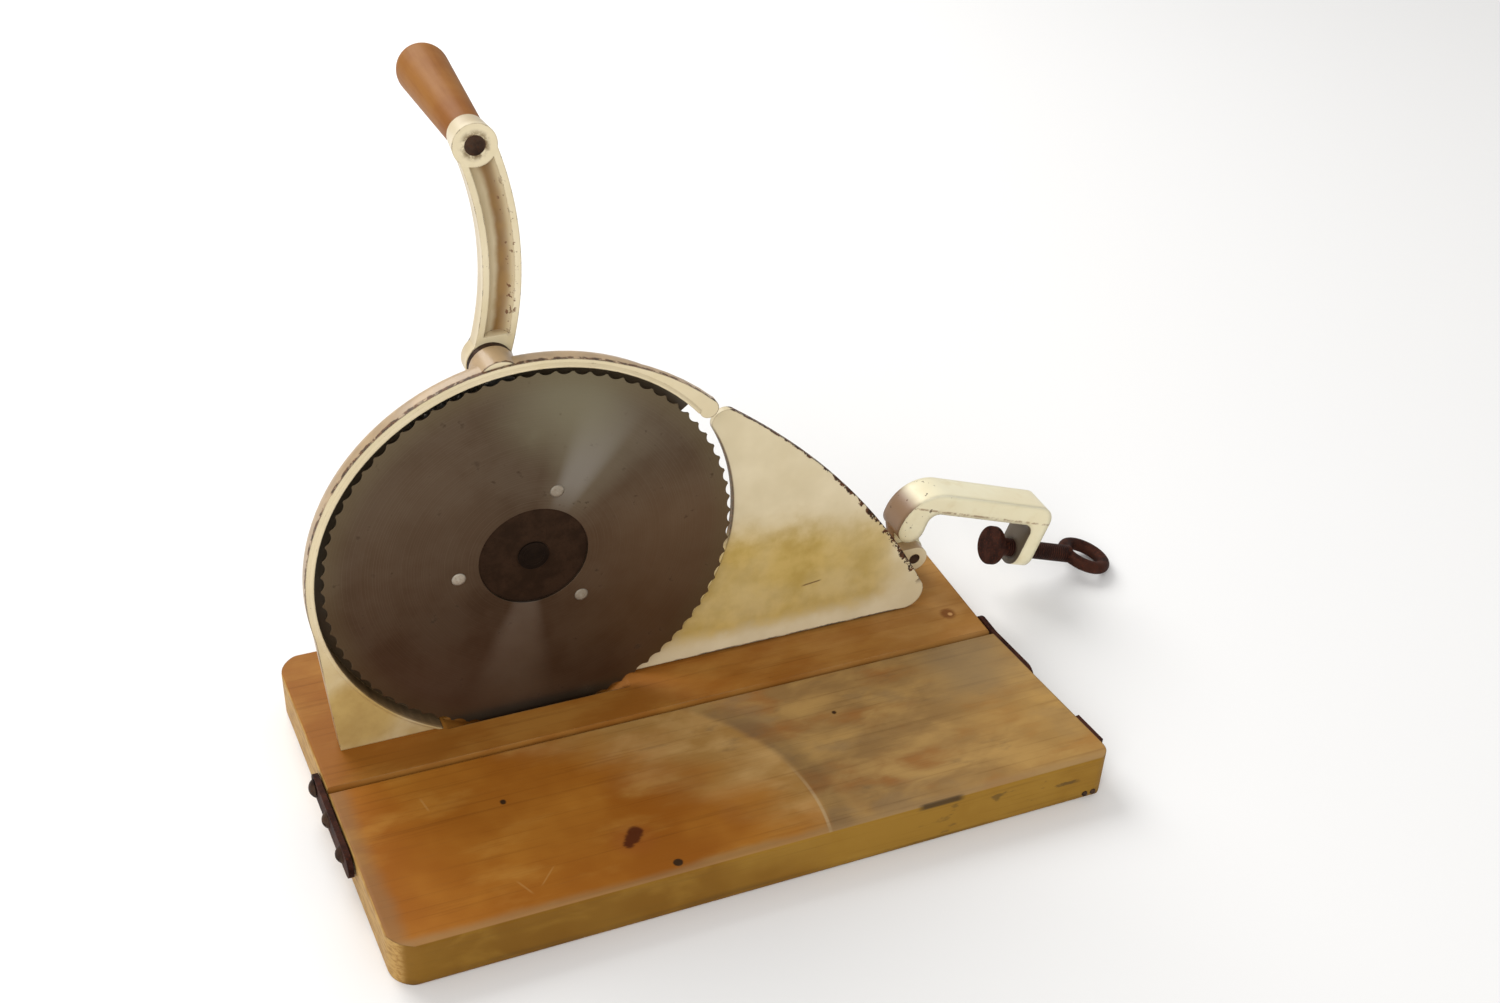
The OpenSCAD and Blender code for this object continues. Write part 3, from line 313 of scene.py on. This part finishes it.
def front_ochre(look, wood):
    """The ochre of the leaf's front edge, chipped at the right, with painted shade along the bottom where it
    meets the table.
    """
    ochre = look.mix(look.step(wood.broad, 0.35, 0.62), srgb(128, 88, 24), srgb(148, 110, 40))
    ochre = look.paint(ochre, srgb(112, 74, 16), look.step(look.x, 40.0, -120.0), 0.65)
    ochre = look.paint(ochre, srgb(162, 124, 50), look.step(wood.marble, 0.5, 0.7), 0.3)
    ochre = look.paint(ochre, srgb(116, 82, 28), look.step(wood.grain, 0.5, 0.7), 0.35)
    chips = look.step(look.noise(5, detail=5, stretch=(2.5, 1.0, 1.0)), 0.6, 0.7)
    chips = look.mul(chips, look.step(look.x, 20.0, 150.0))
    ochre = look.paint(ochre, srgb(84, 64, 36), chips, 0.75)
    # Painted shade along the bottom of the front face, broken by the grain
    foot_painted_shade = look.step(look.sub(look.z, look.mul(wood.patch, 8.0)), 2.0, -4.0)
    foot_painted_shade = look.mul(foot_painted_shade, look.step(wood.grain, 0.35, 0.6))
    return look.paint(ochre, srgb(78, 56, 26), foot_painted_shade, 0.6)


def board_edges(look, wood, colour):
    """The boards' greyed margins, painted shade in the seam, the front edge, left ends painted paler as lit,
    and worn arrises.
    """
    left_line = look.add(look.x, look.mul(look.sub(look.y, SEAM_Y), LEFT_SLOPE))
    left_band = look.step(look.add(left_line, look.mul(wood.patch, 12.0)), -151.0, -159.0)
    colour = look.paint(colour, srgb(132, 106, 74), look.mul(left_band, wood.on_leaf), 0.48)
    front_reach = look.sub(look.y, look.mul(wood.patch, 9.0))
    front_band = look.mul(look.step(front_reach, LEAF_FRONT + 2.0, LEAF_FRONT - 3.0), wood.on_top)
    colour = look.paint(colour, srgb(150, 120, 80), front_band, 0.6)

    # Painted shade on the walls of the seam between the boards
    seam_painted_shade = look.mul(look.band(look.y, SEAM_Y, 0.9, 0.5), look.step(look.face_z, 0.85, 0.6))
    seam_painted_shade = look.mul(seam_painted_shade, look.step(look.z, BOARD_TOP - 9.0, BOARD_TOP - 4.0))
    colour = look.paint(colour, srgb(70, 42, 20), seam_painted_shade, 0.8)
    on_front = look.step(look.face_y, -0.45, -0.75)
    on_front = look.mul(on_front, look.step(look.y, SEAM_Y - 40.0, SEAM_Y - 60.0))
    colour = look.mix(on_front, colour, front_ochre(look, wood))
    # The left ends: streaky end grain, painted paler as lit from the left
    ends = look.step(look.noise(1.6, detail=4, stretch=(1.0, 6.0, 1.0)), 0.4, 0.65)
    end_grain_and_painted_light = look.mix(ends, srgb(184, 146, 84), srgb(156, 116, 60))
    colour = look.mix(look.step(look.face_x, -0.5, -0.8), colour, end_grain_and_painted_light)

    arris = look.edges(1.6, 0.03, 0.35)
    arris_tone = look.mix(look.step(wood.patch, 0.42, 0.58), srgb(96, 74, 48), srgb(156, 128, 90))
    colour = look.mix(look.mul(arris, look.step(wood.marble, 0.3, 0.55)), colour, arris_tone)
    gouge = look.step(look.add(look.y, look.mul(wood.grain, 2.0)), LEAF_FRONT + 3.2, LEAF_FRONT + 1.4)
    gouge = look.mul(look.band(look.x, GOUGE_X, 8.0, 5.0), gouge)
    gouge = look.mul(gouge, look.step(look.z, BOARD_TOP - 3.0, BOARD_TOP - 1.4))
    colour = look.paint(colour, srgb(62, 48, 34), gouge, 0.85)
    mended = look.mul(look.band(look.x, MENDED_X, 9.0, 5.0), arris, look.step(wood.grain, 0.4, 0.55))
    return look.paint(colour, srgb(206, 170, 118), mended, 0.8)


def board_wood():
    """Varnished softwood: orange at the left, worn to tan and grey at the right, ochre on its front edge."""
    look = Look("board_wood", specular=0.1)
    wood = SimpleNamespace(
        broad=look.noise(60, detail=3),
        patch=look.noise(22, detail=4, stretch=(2.2, 1.0, 1.0)),
        marble=look.noise(17, detail=4, roughness=0.5, stretch=(1.9, 1.0, 1.0), distort=0.35),
        grain=look.noise(2.2, detail=5, roughness=0.65, stretch=(42.0, 1.0, 1.0), distort=0.4),
        fine=look.noise(0.8, detail=3, roughness=0.6, stretch=(30.0, 1.0, 1.0)),
        on_leaf=look.step(look.y, SEAM_Y + 0.4, SEAM_Y - 0.4),
        on_top=look.step(look.face_z, 0.5, 0.8),
    )
    colour, bare = board_field(look, wood)
    colour, knot = board_marks(look, wood, colour)
    colour = board_edges(look, wood, colour)
    roughness = look.sway(look.add(0.5, look.mul(bare, 0.14)), wood.grain, 0.12)
    height = look.add(look.mul(wood.grain, 0.5), look.mul(wood.fine, 0.25), look.mul(knot, -0.6))
    return look.finish(colour, roughness, height, depth=0.25, strength=0.5, round_edges=0.8)


def grip_wood():
    """Varnished turned beech, with grain along the handle."""
    look = Look("grip_wood", specular=0.1)
    grain = look.noise(1.6, detail=4, roughness=0.6, stretch=(1.0, 28.0, 1.0))
    flecks = look.noise(0.7, detail=2, stretch=(1.0, 7.0, 1.0))
    broad = look.noise(26, detail=3)
    colour = look.mix(look.step(broad, 0.35, 0.65), srgb(138, 84, 30), srgb(150, 98, 40))
    colour = look.paint(colour, srgb(122, 70, 24), look.step(grain, 0.45, 0.75), 0.3)
    colour = look.paint(colour, srgb(110, 62, 28), look.step(flecks, 0.62, 0.75), 0.15)
    neck = look.step(look.y, 12.0, 2.0)
    colour = look.paint(colour, srgb(118, 74, 40), neck, 0.35)
    roughness = look.add(0.42, look.mul(grain, 0.14))
    return look.finish(colour, roughness, grain, depth=0.08, strength=0.35, round_edges=0.4)


CREAM = (srgb(214, 199, 163), srgb(226, 212, 178))
BRIGHT_CREAM = (srgb(234, 223, 186), srgb(240, 233, 200))
OCHRE = (srgb(182, 154, 82), srgb(202, 174, 104))
LEG_OCHRE = (srgb(168, 134, 64), srgb(186, 154, 84))
# Brown tones of the painted shade in the crank arm's hollow
ARM_HOLLOW_SHADE = (srgb(122, 88, 42), srgb(142, 108, 58))


def cream_enamel(
    name, stain_and_shade_mask, wear, chip_from, tones=CREAM, stain=OCHRE, sides=0.0, mottle=0.3, rounding=0.9
):
    """Cream enamel, yellowed in patches and chipped to dark iron along its edges.

    The mask of the stain comes from the function given after name; on the crank arm it is painted shade in
    the arm's hollow.
    wear adds what is worn on that piece only, and on the frame, fence and clamp some painted shade, and on
    the clamp a painted highlight.
    The faces that look sideways, up or down are browner by the share in sides.
    """
    look = Look(name, coat=0.1, coat_roughness=0.2, specular=0.3)
    broad = look.noise(38, detail=4)
    patch = look.noise(11, detail=5)
    speck = look.noise(2.2, detail=4, roughness=0.6)
    chip_noise = look.noise(4.0, detail=5, roughness=0.65)

    colour = look.mix(look.step(broad, 0.35, 0.65), *tones)
    colour = look.paint(colour, srgb(210, 194, 150), look.step(patch, 0.5, 0.75), mottle)
    # The stain's tone, which on the crank arm is painted shade
    stain_and_shade_tone = look.mix(look.step(patch, 0.3, 0.7), *stain)
    colour = look.mix(stain_and_shade_mask(look, broad, patch), colour, stain_and_shade_tone)
    if sides:
        side_tone = look.mix(look.step(patch, 0.4, 0.65), srgb(142, 108, 74), srgb(164, 130, 92))
        colour = look.paint(colour, side_tone, look.step(look.absolute(look.face_y), 0.8, 0.35), sides)

    edge = look.edges(0.9, 0.03, 0.22)
    chips = look.mul(edge, look.step(chip_noise, chip_from, chip_from + 0.06))
    away = look.mul(look.step(chip_noise, 0.71, 0.74), look.step(broad, 0.5, 0.62))
    dots = look.step(speck, 0.75, 0.78)
    coat = SimpleNamespace(
        colour=colour,
        pits=look.larger(chips, look.mul(away, 0.8), look.mul(dots, 0.7)),
        grime=look.mul(edge, look.step(chip_noise, chip_from - 0.2, chip_from)),
        chip_noise=chip_noise,
        broad=broad,
    )
    wear(look, coat)
    colour = look.paint(coat.colour, srgb(160, 130, 86), coat.grime, 0.4)
    iron_tone = look.mix(look.step(speck, 0.4, 0.6), srgb(44, 28, 18), srgb(92, 54, 30))
    colour = look.mix(coat.pits, colour, iron_tone)
    roughness = look.add(0.3, look.mul(coat.pits, 0.45), look.mul(patch, 0.12))
    height = look.sub(look.mul(patch, 0.3), look.mul(coat.pits, 0.9))
    return look.finish(colour, roughness, height, depth=0.2, strength=0.5, round_edges=rounding)


def frame_yellow(look, broad, patch):
    """The leg's panel and the lower ring are yellower than the top and the clamp's lug."""
    low = look.step(look.sway(look.z, patch, 40.0), 120.0, 45.0)
    low = look.mul(low, look.step(look.x, LUG.x - 3.0, LUG.x - 12.0))
    low = look.mul(look.larger(look.mul(low, 0.8), 0.12), look.step(broad, 0.25, 0.6))
    panel = look.spot(LEG_PANEL, 14.0, 20.0, patch, 10.0)
    return look.larger(low, look.mul(panel, 0.85))


def frame_wear(look, coat):
    """A broken dark line along the ring's outer front edge, and dirt with painted shade inside the dish."""
    reach = look.from_axis(BLADE_MID)
    wander = look.sub(look.y, look.mul(coat.chip_noise, 3.6))
    line = look.step(wander, FACE_Y + 0.4, FACE_Y - 0.5)
    line = look.mul(line, look.step(reach, DISH_OUTER - 0.9, DISH_OUTER - 0.5))
    line = look.mul(line, look.step(look.z, 60.0, 80.0), look.step(look.noise(20, detail=3), 0.3, 0.42))
    outer = look.mul(look.step(look.absolute(look.face_y), 0.8, 0.4), look.step(coat.chip_noise, 0.4, 0.5))
    line = look.mul(line, look.larger(look.edges(1.0, 0.02, 0.15), outer))
    coat.pits = look.larger(coat.pits, look.mul(line, 0.9))
    # Dark brown inside the dish: painted shade, with dirt
    inside = look.step(reach, DISH_INNER + 0.15, DISH_INNER - 0.2)
    inside = look.mul(inside, look.step(look.y, FACE_Y + 0.2, FACE_Y + 0.9))
    inside = look.mul(inside, look.step(look.y, WEB_BACK - 0.8, WEB_BACK - 2.2))
    coat.colour = look.paint(coat.colour, srgb(56, 42, 30), inside, 0.92)


def fence_yellow(look, broad, patch):
    """A stain over the middle of the fence, with a pale lower edge and right corner."""
    height = look.sway(look.add(look.z, look.mul(look.x, 0.16)), patch, 22.0)
    field = look.step(height, 116.0, 90.0)
    field = look.mul(field, look.step(look.add(look.z, look.mul(patch, 10.0)), 34.0, 46.0))
    field = look.mul(field, look.step(look.sway(look.x, broad, 40.0), 138.0, 108.0))
    return look.mul(field, look.add(0.7, look.mul(look.step(broad, 0.3, 0.6), 0.3)))


def fence_wear(look, coat):
    """Chips along the fence's slanted, hollow and lower edges, with painted shade in the chips of the lower
    edge, and one scratch.
    """
    inward = look.sub(SLANT_R, look.from_axis(SLANT_MID))
    chip_size = look.add(0.4, look.mul(look.step(look.z, 165.0, 50.0), 2.6))
    chip_size = look.mul(look.step(coat.chip_noise, 0.42, 0.6), chip_size)
    slant = look.step(look.sub(inward, chip_size), 0.35, -0.25)
    slant = look.mul(slant, look.step(look.z, 38.0, 44.0))
    bow = look.step(look.sub(look.from_axis(BLADE_MID), BOW_R), 1.1, 0.4)
    bow = look.mul(bow, look.band(look.z, 125.0, 25.0, 15.0))
    # Dark chips along the lower edge, which also paint the shade of the gap under it
    lower_chips_and_shade = look.sub(look.sub(look.z, FENCE_LOW), look.mul(coat.chip_noise, 1.6))
    lower_chips_and_shade = look.mul(look.step(lower_chips_and_shade, 0.2, -0.3), look.step(coat.broad, 0.45, 0.55))
    scratch = look.band(look.sub(look.z, look.mul(look.x, 0.12)), 45.4, 0.2, 0.5)
    scratch = look.mul(scratch, look.band(look.x, 80.0, 3.5, 2.5))
    coat.pits = look.larger(
        coat.pits, slant, look.mul(bow, 0.8), look.mul(lower_chips_and_shade, 0.8), look.mul(scratch, 0.7)
    )


def arm_hollow_shade(look, broad, patch):
    """Painted shade in the hollow of the crank arm, strongest towards its outer side."""
    hollow = look.step(look.sway(look.y, patch, 1.2), FACE_Y + 18.6, FACE_Y + 23.0)
    front = look.step(look.face_y, 0.2, -0.1)
    outward = look.sub(look.from_axis(ARM_MID), ARM_R)
    streak = look.step(look.sway(outward, patch, 3.0), -2.6, 0.6)
    return look.mul(hollow, front, look.add(0.25, look.mul(streak, 0.75)))


def arm_wear(look, coat):
    """Brown specks beside the arm's hollow, and grime round the handle's pin."""
    outward = look.sub(look.from_axis(ARM_MID), ARM_R)
    specks = look.mul(look.band(outward, 4.6, 1.4, 1.2), look.step(look.noise(3.0, detail=4), 0.58, 0.62))
    specks = look.mul(specks, look.step(look.face_y, 0.1, -0.2), look.band(look.z, 252.0, 30.0, 8.0))
    coat.colour = look.paint(coat.colour, srgb(98, 54, 30), specks, 0.85)
    grime = look.step(look.from_axis(HANDLE_PIN), 7.5, 4.4)
    grime = look.mul(grime, look.step(coat.chip_noise, 0.38, 0.6), look.step(look.face_y, -0.5, -0.8))
    coat.colour = look.paint(coat.colour, srgb(104, 80, 42), grime, 0.9)


def clamp_yellow(look, broad, patch):
    """Faint staining only."""
    return look.mul(look.step(patch, 0.55, 0.8), 0.2)


def clamp_wear(look, coat):
    """Painted shade with brown and rust on the clamp's left faces, rust by its pivot, a painted highlight
    along the top edge and a brown lower one.
    """
    # The legs' left faces: brown with painted shade on the near leg, rust with painted shade on the inner
    # leg
    left_face = look.step(look.face_x, -0.35, -0.7)
    near_leg_tone_and_shade = look.mul(left_face, look.step(look.x, LUG.x + 12.0, LUG.x + 2.0))
    coat.colour = look.paint(coat.colour, srgb(124, 92, 64), near_leg_tone_and_shade, 0.95)
    inner_leg_rust_and_shade = look.mul(left_face, look.step(look.x, LUG.x + 34.0, LUG.x + 40.0))
    coat.colour = look.paint(coat.colour, srgb(58, 42, 32), inner_leg_rust_and_shade, 0.92)

    upward = (math.sin(CLAMP_TILT), 0.0, math.cos(CLAMP_TILT))  # square to the clamp's bar
    across = look.vector("DOT_PRODUCT", look.vector("SUBTRACT", look.place, LUG), upward)
    below_crest = look.step(across, 35.1, 31.6)
    rust = look.step(look.noise(3.4, detail=3), 0.66, 0.69)
    rust = look.mul(rust, look.step(look.x, LUG.x + 22.0, LUG.x + 8.0))
    coat.pits = look.larger(look.mul(coat.pits, below_crest), look.mul(rust, 0.85))
    coat.grime = look.mul(coat.grime, below_crest)
    # A painted highlight along the top edge
    crest_painted_highlight = look.mul(look.edges(2.2, 0.01, 0.2), look.step(across, 34.6, 37.1))
    coat.colour = look.paint(coat.colour, srgb(252, 246, 222), crest_painted_highlight, 0.6)
    hem = look.mul(look.band(across, 30.4, 0.25, 0.6), look.step(look.face_y, -0.5, -0.8))
    hem = look.mul(hem, look.step(coat.chip_noise, 0.42, 0.56))
    coat.colour = look.paint(coat.colour, srgb(140, 100, 62), hem, 0.7)


def blade_steel():
    """Tarnished steel: brown, with ground rings, and painted highlights: paler rays from the centre and a
    sheen near the top.
    """
    look = Look("blade_steel", metallic=0.92)
    reach = look.from_axis(BLADE_MID)
    away = look.flat(look.vector("SUBTRACT", look.place, BLADE_MID))
    right_by = look.sub(look.x, BLADE_MID.x)
    above_by = look.sub(look.z, BLADE_MID.z)
    patch = look.noise(24, detail=4)
    spot = look.noise(6, detail=4)
    rings = look.node("ShaderNodeTexNoise")
    rings.noise_dimensions = "1D"
    look.link(reach, rings.inputs["W"])
    rings.inputs["Scale"].default_value = 2.4
    rings.inputs["Detail"].default_value = 3.0
    ring = rings.outputs[0]

    def highlight_ray(degrees, width, inner, outer):
        """A painted highlight that leaves the centre at an angle, rises over inner and falls over outer."""
        turn = math.radians(degrees)
        along = look.vector("DOT_PRODUCT", away, (math.cos(turn), 0.0, math.sin(turn)))
        share = look.math("DIVIDE", along, look.larger(reach, 1.0))
        mask = look.step(share, math.cos(math.radians(width)), 1.0)
        return look.mul(mask, look.step(reach, *inner), look.step(reach, *outer))

    colour = look.mix(look.step(patch, 0.35, 0.65), srgb(86, 69, 53), srgb(98, 83, 67))
    right = look.mul(look.step(right_by, -10.0, 70.0), look.step(above_by, 50.0, 0.0))
    colour = look.paint(colour, srgb(122, 98, 74), right, 0.6)
    # A painted highlight left of the centre
    left = highlight_ray(160.0, 60.0, (10.0, 30.0), (98.0, 70.0))
    colour = look.paint(colour, srgb(104, 86, 68), left, 0.4)
    low = look.mul(look.step(above_by, -20.0, -90.0), look.step(right_by, 50.0, -60.0))
    colour = look.paint(colour, srgb(132, 112, 96), low, 0.6)
    # Painted highlights above the centre: a broad ray and its bright core
    upper_highlight = highlight_ray(59.0, 26.0, (16.0, 40.0), (118.0, 50.0))
    colour = look.paint(colour, srgb(140, 132, 112), upper_highlight, 0.38)
    core_highlight = highlight_ray(62.0, 13.0, (20.0, 42.0), (92.0, 46.0))
    colour = look.paint(colour, srgb(158, 154, 146), core_highlight, 0.55)
    # A painted sheen near the top
    sheen = look.spot(BLADE_SHEEN, 4.0, 40.0, patch, 24.0)
    colour = look.paint(colour, srgb(148, 144, 118), sheen, 0.5)
    # A painted highlight below the centre
    lower = highlight_ray(-100.0, 18.0, (14.0, 26.0), (112.0, 46.0))
    colour = look.paint(colour, srgb(148, 140, 128), lower, 0.5)
    colour = look.paint(colour, srgb(116, 104, 78), look.step(reach, 82.0, 94.0), 0.45)
    colour = look.paint(colour, srgb(140, 124, 106), look.step(ring, 0.45, 0.7), 0.12)
    stain = look.mul(look.step(spot, 0.62, 0.72), look.step(patch, 0.5, 0.65))
    colour = look.paint(colour, srgb(52, 34, 24), stain, 0.4)
    roughness = look.add(0.36, look.mul(patch, 0.16), look.mul(stain, 0.2))
    height = look.add(look.mul(ring, 0.6), look.mul(spot, 0.2))
    return look.finish(colour, roughness, height, depth=0.03, strength=0.3, round_edges=0.25)


def iron(name, dark, light, rust, metallic, roughness, thread=False, rim=None):
    """Worn iron or steel with rust in patches; thread adds a screw's turns, with painted shade in their
    troughs, and rim a tone for edges, which on the blade's carrier is painted shade.
    """
    look = Look(name, metallic=metallic, specular=0.1)
    patch = look.noise(9, detail=5)
    fine = look.noise(1.2, detail=4, roughness=0.65)
    colour = look.mix(look.step(patch, 0.35, 0.65), dark, light)
    colour = look.paint(colour, rust, look.step(fine, 0.52, 0.68), 0.6)
    edge = look.edges(0.9, 0.03, 0.4)
    if rim:
        colour = look.mix(edge, colour, rim)
    else:
        colour = look.mix(look.mul(edge, look.step(patch, 0.4, 0.65)), colour, light)
    height = look.add(look.mul(fine, 0.6), look.mul(patch, 0.4))
    depth = 0.3
    if thread:
        pitch = 1.5
        outward = (math.cos(CLAMP_TILT), 0.0, -math.sin(CLAMP_TILT))  # along the clamp's screw
        reach = look.vector("DOT_PRODUCT", look.vector("SUBTRACT", look.place, LUG), outward)
        turns = look.math("SINE", look.mul(reach, 2 * math.pi / pitch))
        shank = look.mul(look.step(reach, 60.0, 61.5), look.step(reach, 104.0, 101.0))
        height = look.add(look.mul(height, 0.35), look.mul(turns, shank, 0.9))
        # Painted shade in the troughs of the turns
        colour = look.mix(look.mul(shank, look.step(turns, 0.2, -0.8)), colour, dark)
        depth = 0.45
    rough = look.sway(roughness, fine, 0.3)
    return look.finish(colour, rough, height, depth=depth, strength=0.6, round_edges=0.4)


RUSTY = (srgb(38, 19, 14), srgb(66, 37, 27), srgb(92, 45, 28))
DARK = (srgb(42, 30, 24), srgb(76, 58, 46), srgb(82, 48, 30))
MACHINED = (srgb(118, 114, 108), srgb(160, 157, 150), srgb(112, 96, 78))
RIVET = (srgb(150, 140, 124), srgb(176, 166, 150), srgb(140, 122, 102))
CARRIER = (srgb(45, 31, 21), srgb(58, 41, 29), srgb(46, 31, 20))
HUB = (srgb(26, 18, 13), srgb(36, 26, 19), srgb(32, 22, 14))

# Each material with the nodes that wear it
LOOKS = (
    (board_wood(), ("rear_board", "front_board")),
    (grip_wood(), ("handle_grip",)),
    (
        cream_enamel("frame_enamel", frame_yellow, frame_wear, 0.6, stain=LEG_OCHRE, sides=0.75),
        ("frame",),
    ),
    (cream_enamel("fence_enamel", fence_yellow, fence_wear, 0.56, mottle=0.15), ("fence_plate",)),
    # The arm's brown is painted shade in its hollow
    (cream_enamel("arm_enamel", arm_hollow_shade, arm_wear, 0.54, stain=ARM_HOLLOW_SHADE, sides=0.12), ("crank_arm",)),
    (
        cream_enamel(
            "clamp_enamel", clamp_yellow, clamp_wear, 0.52,
            tones=BRIGHT_CREAM, sides=0.1, mottle=0.15, rounding=5.0,
        ),
        ("clamp_arm",),
    ),
    (blade_steel(), ("blade",)),
    (iron("rivet_steel", *RIVET, metallic=0.5, roughness=0.5), ("blade_rivets",)),
    (
        # The carrier's edges are darkened with painted shade
        iron("carrier_steel", *CARRIER, metallic=0.5, roughness=0.5, rim=srgb(14, 9, 6)),
        ("blade_carrier",),
    ),
    (iron("hub_steel", *HUB, metallic=0.5, roughness=0.5), ("spindle_washer", "blade_spindle")),
    (iron("screw_iron", *RUSTY, metallic=0.3, roughness=0.68, thread=True), ("clamp_screw",)),
    (
        iron("rusty_iron", *RUSTY, metallic=0.3, roughness=0.7),
        ("clamp_pad", "strap_left", "strap_right", "catch_plate"),
    ),
    (
        iron("dark_steel", *DARK, metallic=0.5, roughness=0.6),
        (
            "strap_screws", "pivot_screws", "catch_screws", "leaf_tacks",
            "clamp_pin", "handle_pin", "crank_washer",
        ),
    ),
    (
        iron("machined_steel", *MACHINED, metallic=0.9, roughness=0.38),
        (
            "fence_rods", "frame_screws", "spindle_collar", "driven_gear", "idler_gear",
            "idler_stud", "crank_pinion", "crank_shaft", "crank_nut", "lock_screw",
        ),
    ),
)
for material, names in LOOKS:
    for name in names:
        slots = frame["nodes"][name].data.materials
        slots.clear()
        slots.append(material)


def add_object(name, data):
    """A new object in the scene."""
    thing = bpy.data.objects.new(name, data)
    bpy.context.scene.collection.objects.link(thing)
    return thing


def pale_stage():
    """A wide pale floor, which keeps the object's shadow."""
    half = 8.0
    mesh = bpy.data.meshes.new("floor")
    square = [(-half, -half, 0.0), (half, -half, 0.0), (half, half, 0.0), (-half, half, 0.0)]
    mesh.from_pydata(square, [], [(0, 1, 2, 3)])
    floor = add_object("floor", mesh)
    material = bpy.data.materials.new("floor_paper")
    material.use_nodes = True
    shader = material.node_tree.nodes["Principled BSDF"]
    shader.inputs["Base Color"].default_value = (0.88, 0.872, 0.86, 1.0)
    shader.inputs["Roughness"].default_value = 0.7
    shader.inputs["Specular IOR Level"].default_value = 0.2
    mesh.materials.append(material)


def studio_light():
    """Even white surroundings, with a large soft lamp behind the object and a fill in front of it."""
    world = bpy.data.worlds.new("studio")
    bpy.context.scene.world = world
    world.use_nodes = True
    background = world.node_tree.nodes["Background"]
    background.inputs["Color"].default_value = (1.0, 1.0, 1.0, 1.0)
    background.inputs["Strength"].default_value = 0.6
    for name, place, size, power in (
        ("key", Vector((-0.45, 1.3, 1.35)), 1.4, 25.0),
        ("fill", Vector((-1.1, -1.6, 1.2)), 1.6, 22.0),
    ):
        lamp = bpy.data.lights.new(name, "AREA")
        lamp.shape = "DISK"
        lamp.size = size
        lamp.energy = power
        light = add_object(name, lamp)
        light.location = place
        light.rotation_euler = (-place).to_track_quat("-Z", "Y").to_euler()


def photo_camera():
    """The photograph's own viewpoint, solved from the blade and the boards."""
    right = Vector((0.92159, -0.38542, 0.04610))
    up = Vector((0.18643, 0.54366, 0.81834))
    back = Vector((-0.34047, -0.74558, 0.57288))
    place = Vector((-0.24253, -0.64567, 0.59480))
    data = bpy.data.cameras.new("camera")
    data.sensor_width = 36.0
    data.lens = 42.976
    data.clip_start = 0.01
    camera = add_object("camera", data)
    camera.matrix_world = Matrix([*zip(right, up, back, place), (0.0, 0.0, 0.0, 1.0)])
    bpy.context.scene.camera = camera


pale_stage()
studio_light()
photo_camera()
bpy.context.scene.view_settings.view_transform = "Standard"
